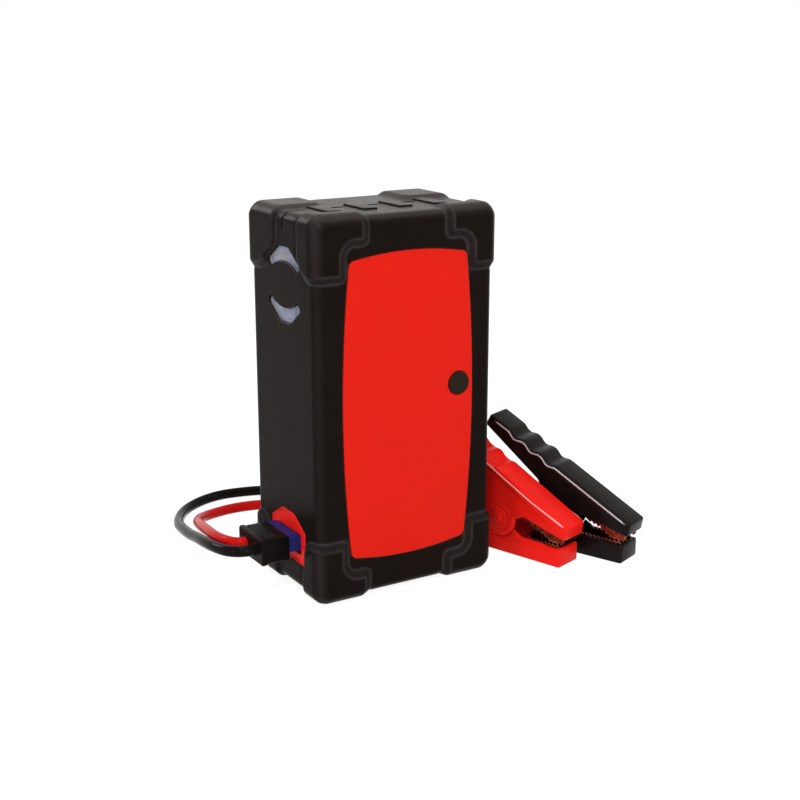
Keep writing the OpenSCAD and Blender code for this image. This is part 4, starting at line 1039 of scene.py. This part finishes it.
def make_upper(plastic):
    upper = slab("upper", upper_line(), -OUT_HALF, OUT_HALF, plastic, "y", 1.7, steps=5)
    nose_x, tail = -0.8, ridge(RIDGE_L - 2.2, ROOF_T)
    roof_z = tail[1] + (nose_x - tail[0]) * math.tan(SLOPE)
    room = [(nose_x, roof_z), tail, ridge(RIDGE_L - 2.2, 150), (60, -150), (nose_x, -150)]
    for line in (room, circle(13.5, *PIVOT)):
        cut(upper, slab("hollow", line, -IN_HALF, IN_HALF, plastic, "y"))
    for near in (-1, 1):
        join(upper, turned("boss", BOSS, plastic, near=near))
        ring = turned("ring", RING, plastic, 64, near)
        join(upper, cut(ring, turned("eye", ((8.9, -12), (8.9, 12)), plastic, 64)))
    return cut(upper, turned("bore", BORE, plastic, 32))


def make_lower(plastic):
    lower = slab("lower", lower_line(), -OUT_HALF, OUT_HALF, plastic, "y", 1.3)
    cut(lower, box("channel", (2.2, -IN_HALF, 2.2), (112, IN_HALF, 60), plastic))
    foot = fillet([(38.5, 1.1), (58.5, 1.1), (56.5, 22.5), (40.5, 22.5)], 0.8, 3)
    for near in (-1, 1):
        low, high = sorted((near * 5.4, near * 7.6))
        ear = slab("ear", circle(9.5, *PIVOT), low, high, plastic, "y", 0.3)
        join(lower, join(ear, slab("foot", foot, low, high, plastic, "y")))
        low, high = sorted((near * 7.5, near * 8.2))
        join(lower, box("web", (39, low, 1.5), (58, high, 9.0), plastic))
    join(lower, slab("bridge", rect(5, 2.6, 0.6, 62.5, 14.2), -8.8, 8.8, plastic, "y"))
    return cut(lower, turned("bore", BORE, plastic, 32))


def make_clamp(tone, pose, plastic, shine):
    place, slot = posed(pose), "clamp_" + tone
    for make, body, word in ((make_upper, tone + "_upper", "upper"), (make_lower, "case", "lower")):
        obj = make(plastic)
        mesh = obj.data
        points = np.array([v.co[:] for v in mesh.vertices]) / MM
        mesh.vertices.foreach_set("co", (place(points) * MM).ravel())
        mesh.update()
        obj.name = f"{tone}_clamp_{word}_handle"
        settle(obj, body, f"{tone}_{word}_half", slot=slot)
    # Pale strips along the handle's top edges, in the shine material: a painted highlight of the rounded
    # edges.
    for near, word in ((-1, "far"), (1, "near")):
        if tone == "red":
            line = [ridge(d, 0.6 + 2.0 * min(d / 30, 1)) for d in np.linspace(3, 112, 60)]
        else:
            line = [ridge(d, 1.9 + wave(d)) for d in np.linspace(3, 113, 150)]
        path = spaced(np.array([(x, near * 9.8, z) for x, z in line]), 0.8)
        count = np.arange(len(path))
        radii = 0.62 * np.sqrt(np.clip(np.minimum(count, count[::-1]) / 4, 0.15, 1))
        painted_highlight_strip = tube(f"{tone}_clamp_{word}_bead", path, radii, shine, 10, place)
        settle(painted_highlight_strip, tone + "_upper", slot=slot)
        cap = turned(f"{tone}_clamp_{word}_cap", CAP, plastic, near=near, place=place)
        settle(cap, "case", slot=slot)
    pin = turned(tone + "_clamp_rivet", RIVET, STEEL, 40, place=place)
    settle(pin, "case", tone + "_pivot_pin", slot="steel")
    make_spring(tone, place)


def make_spring(tone, place):
    """Torsion spring: over three turns about the rivet, one arm under the roof, one on the bridge."""
    half = COIL_PITCH * COIL_TURN / 360 / 2
    up, down = math.radians(54), math.radians(8)

    def turn(angle):
        return PIVOT + COIL_R * np.array([math.cos(angle), math.sin(angle)])
    root, rest = turn(math.pi / 2 + up), turn(-math.pi / 2 - down)
    roof = RIDGE_A + ROOF_T * INTO
    reach = (float((root - roof) @ INTO) - WIRE / 2 - SNUG) / math.sin(up - SLOPE)
    tip = root + reach * np.array([math.cos(up), math.sin(up)])
    foot = rest + 19 * np.array([math.cos(down), -math.sin(down)])
    points = [(*(tip + d * ALONG), half) for d in (8, 0.9)]
    points += [(*(tip + t * (root - tip)), half) for t in (0.05, 0.35, 0.7, 0.94)]
    for f in (i / 145 for i in range(1, 145)):
        points.append((*turn(math.pi / 2 + up + math.radians(f * COIL_TURN)), half * (1 - 2 * f)))
    points += [(*(rest + t * (foot - rest)), -half) for t in (0.05, 0.5, 1.0)]
    path = smooth_path([(x, y, z) for x, z, y in points], 0.7, 1)
    spring = tube(tone + "_clamp_spring_wire", path, WIRE / 2, STEEL, 12, place)
    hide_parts(tone + "_spring")
    start, end = (place([(PIVOT[0], 0, z)])[0] * MM for z in (26.2, 18.8))
    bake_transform(spring)


make_clamp("red", RED_POSE, CLAMP_RED, PAINTED_HIGHLIGHT_RED)
make_clamp("black", BLACK_POSE, CLAMP_BLACK, PAINTED_HIGHLIGHT_BLACK)


# ---------- foam and switch dome ----------

def make_foam():
    """Pad with two swelling faces, thinner along its rim."""
    low, high = box_of("cell_foam")
    points, faces = grid_box((np.linspace(-1, 1, 30), (-1, 1), np.linspace(-1, 1, 36)))
    u, side, v = points.T
    swell = 1 - 0.35 * np.maximum(np.abs(u), np.abs(v)) ** 10
    waist = 1 - 0.004 * (1 - v * v)
    points = (high + low) / 2 + (high - low) / 2 * np.stack([u * waist, side * swell, v], 1)
    foam = mesh_object("cell_foam_pad", points, faces, FOAM, 50)
    settle(foam, "case", "cell_foam", slot="foam_grey")


def make_dome():
    profile = [(0, -33.3), (1.6, -33.26), (2.5, -33.1), (3.1, -32.5), (3.9, -31.3), (4.6, -30.5),
        (4.6, -30.3), (3.5, -30.3), (3.0, -31.2), (2.2, -32.3), (1.5, -32.5), (0, -32.5)]
    dome = lathe("switch_snap_dome", profile, STEEL, "y", BUTTON_AT, 40)
    settle(dome, "case", "switch_dome", slot="steel")
    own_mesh(dome)


make_foam()
make_dome()


# ---------- carried-over nodes ----------

KEPT = (
    (SEAL, "case_seal"),
    (STEEL, "case_screws"),
    (GREEN, "control_board", "lamp_board", "main_board"),
    (BRASS, "socket_pins", "cell_links", "output_bars", "plug_sleeves"),
    (FRAME_GREY, "battery_frame"),
    (CELL, "battery_cells_front", "battery_cells_rear"),
    (RELAY, "power_relay", "power_mosfets"),
    (CAN, "filter_capacitor"),
    (FUSE, "main_fuse"),
    (COPPER, "red_lower_jaw", "red_upper_jaw", "black_lower_jaw", "black_upper_jaw"),
    (TIN, "red_lug", "black_lug"),
)
for material, *names in KEPT:
    for name in names:
        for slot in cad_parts[name].material_slots:
            slot.link = "OBJECT"
            slot.material = material
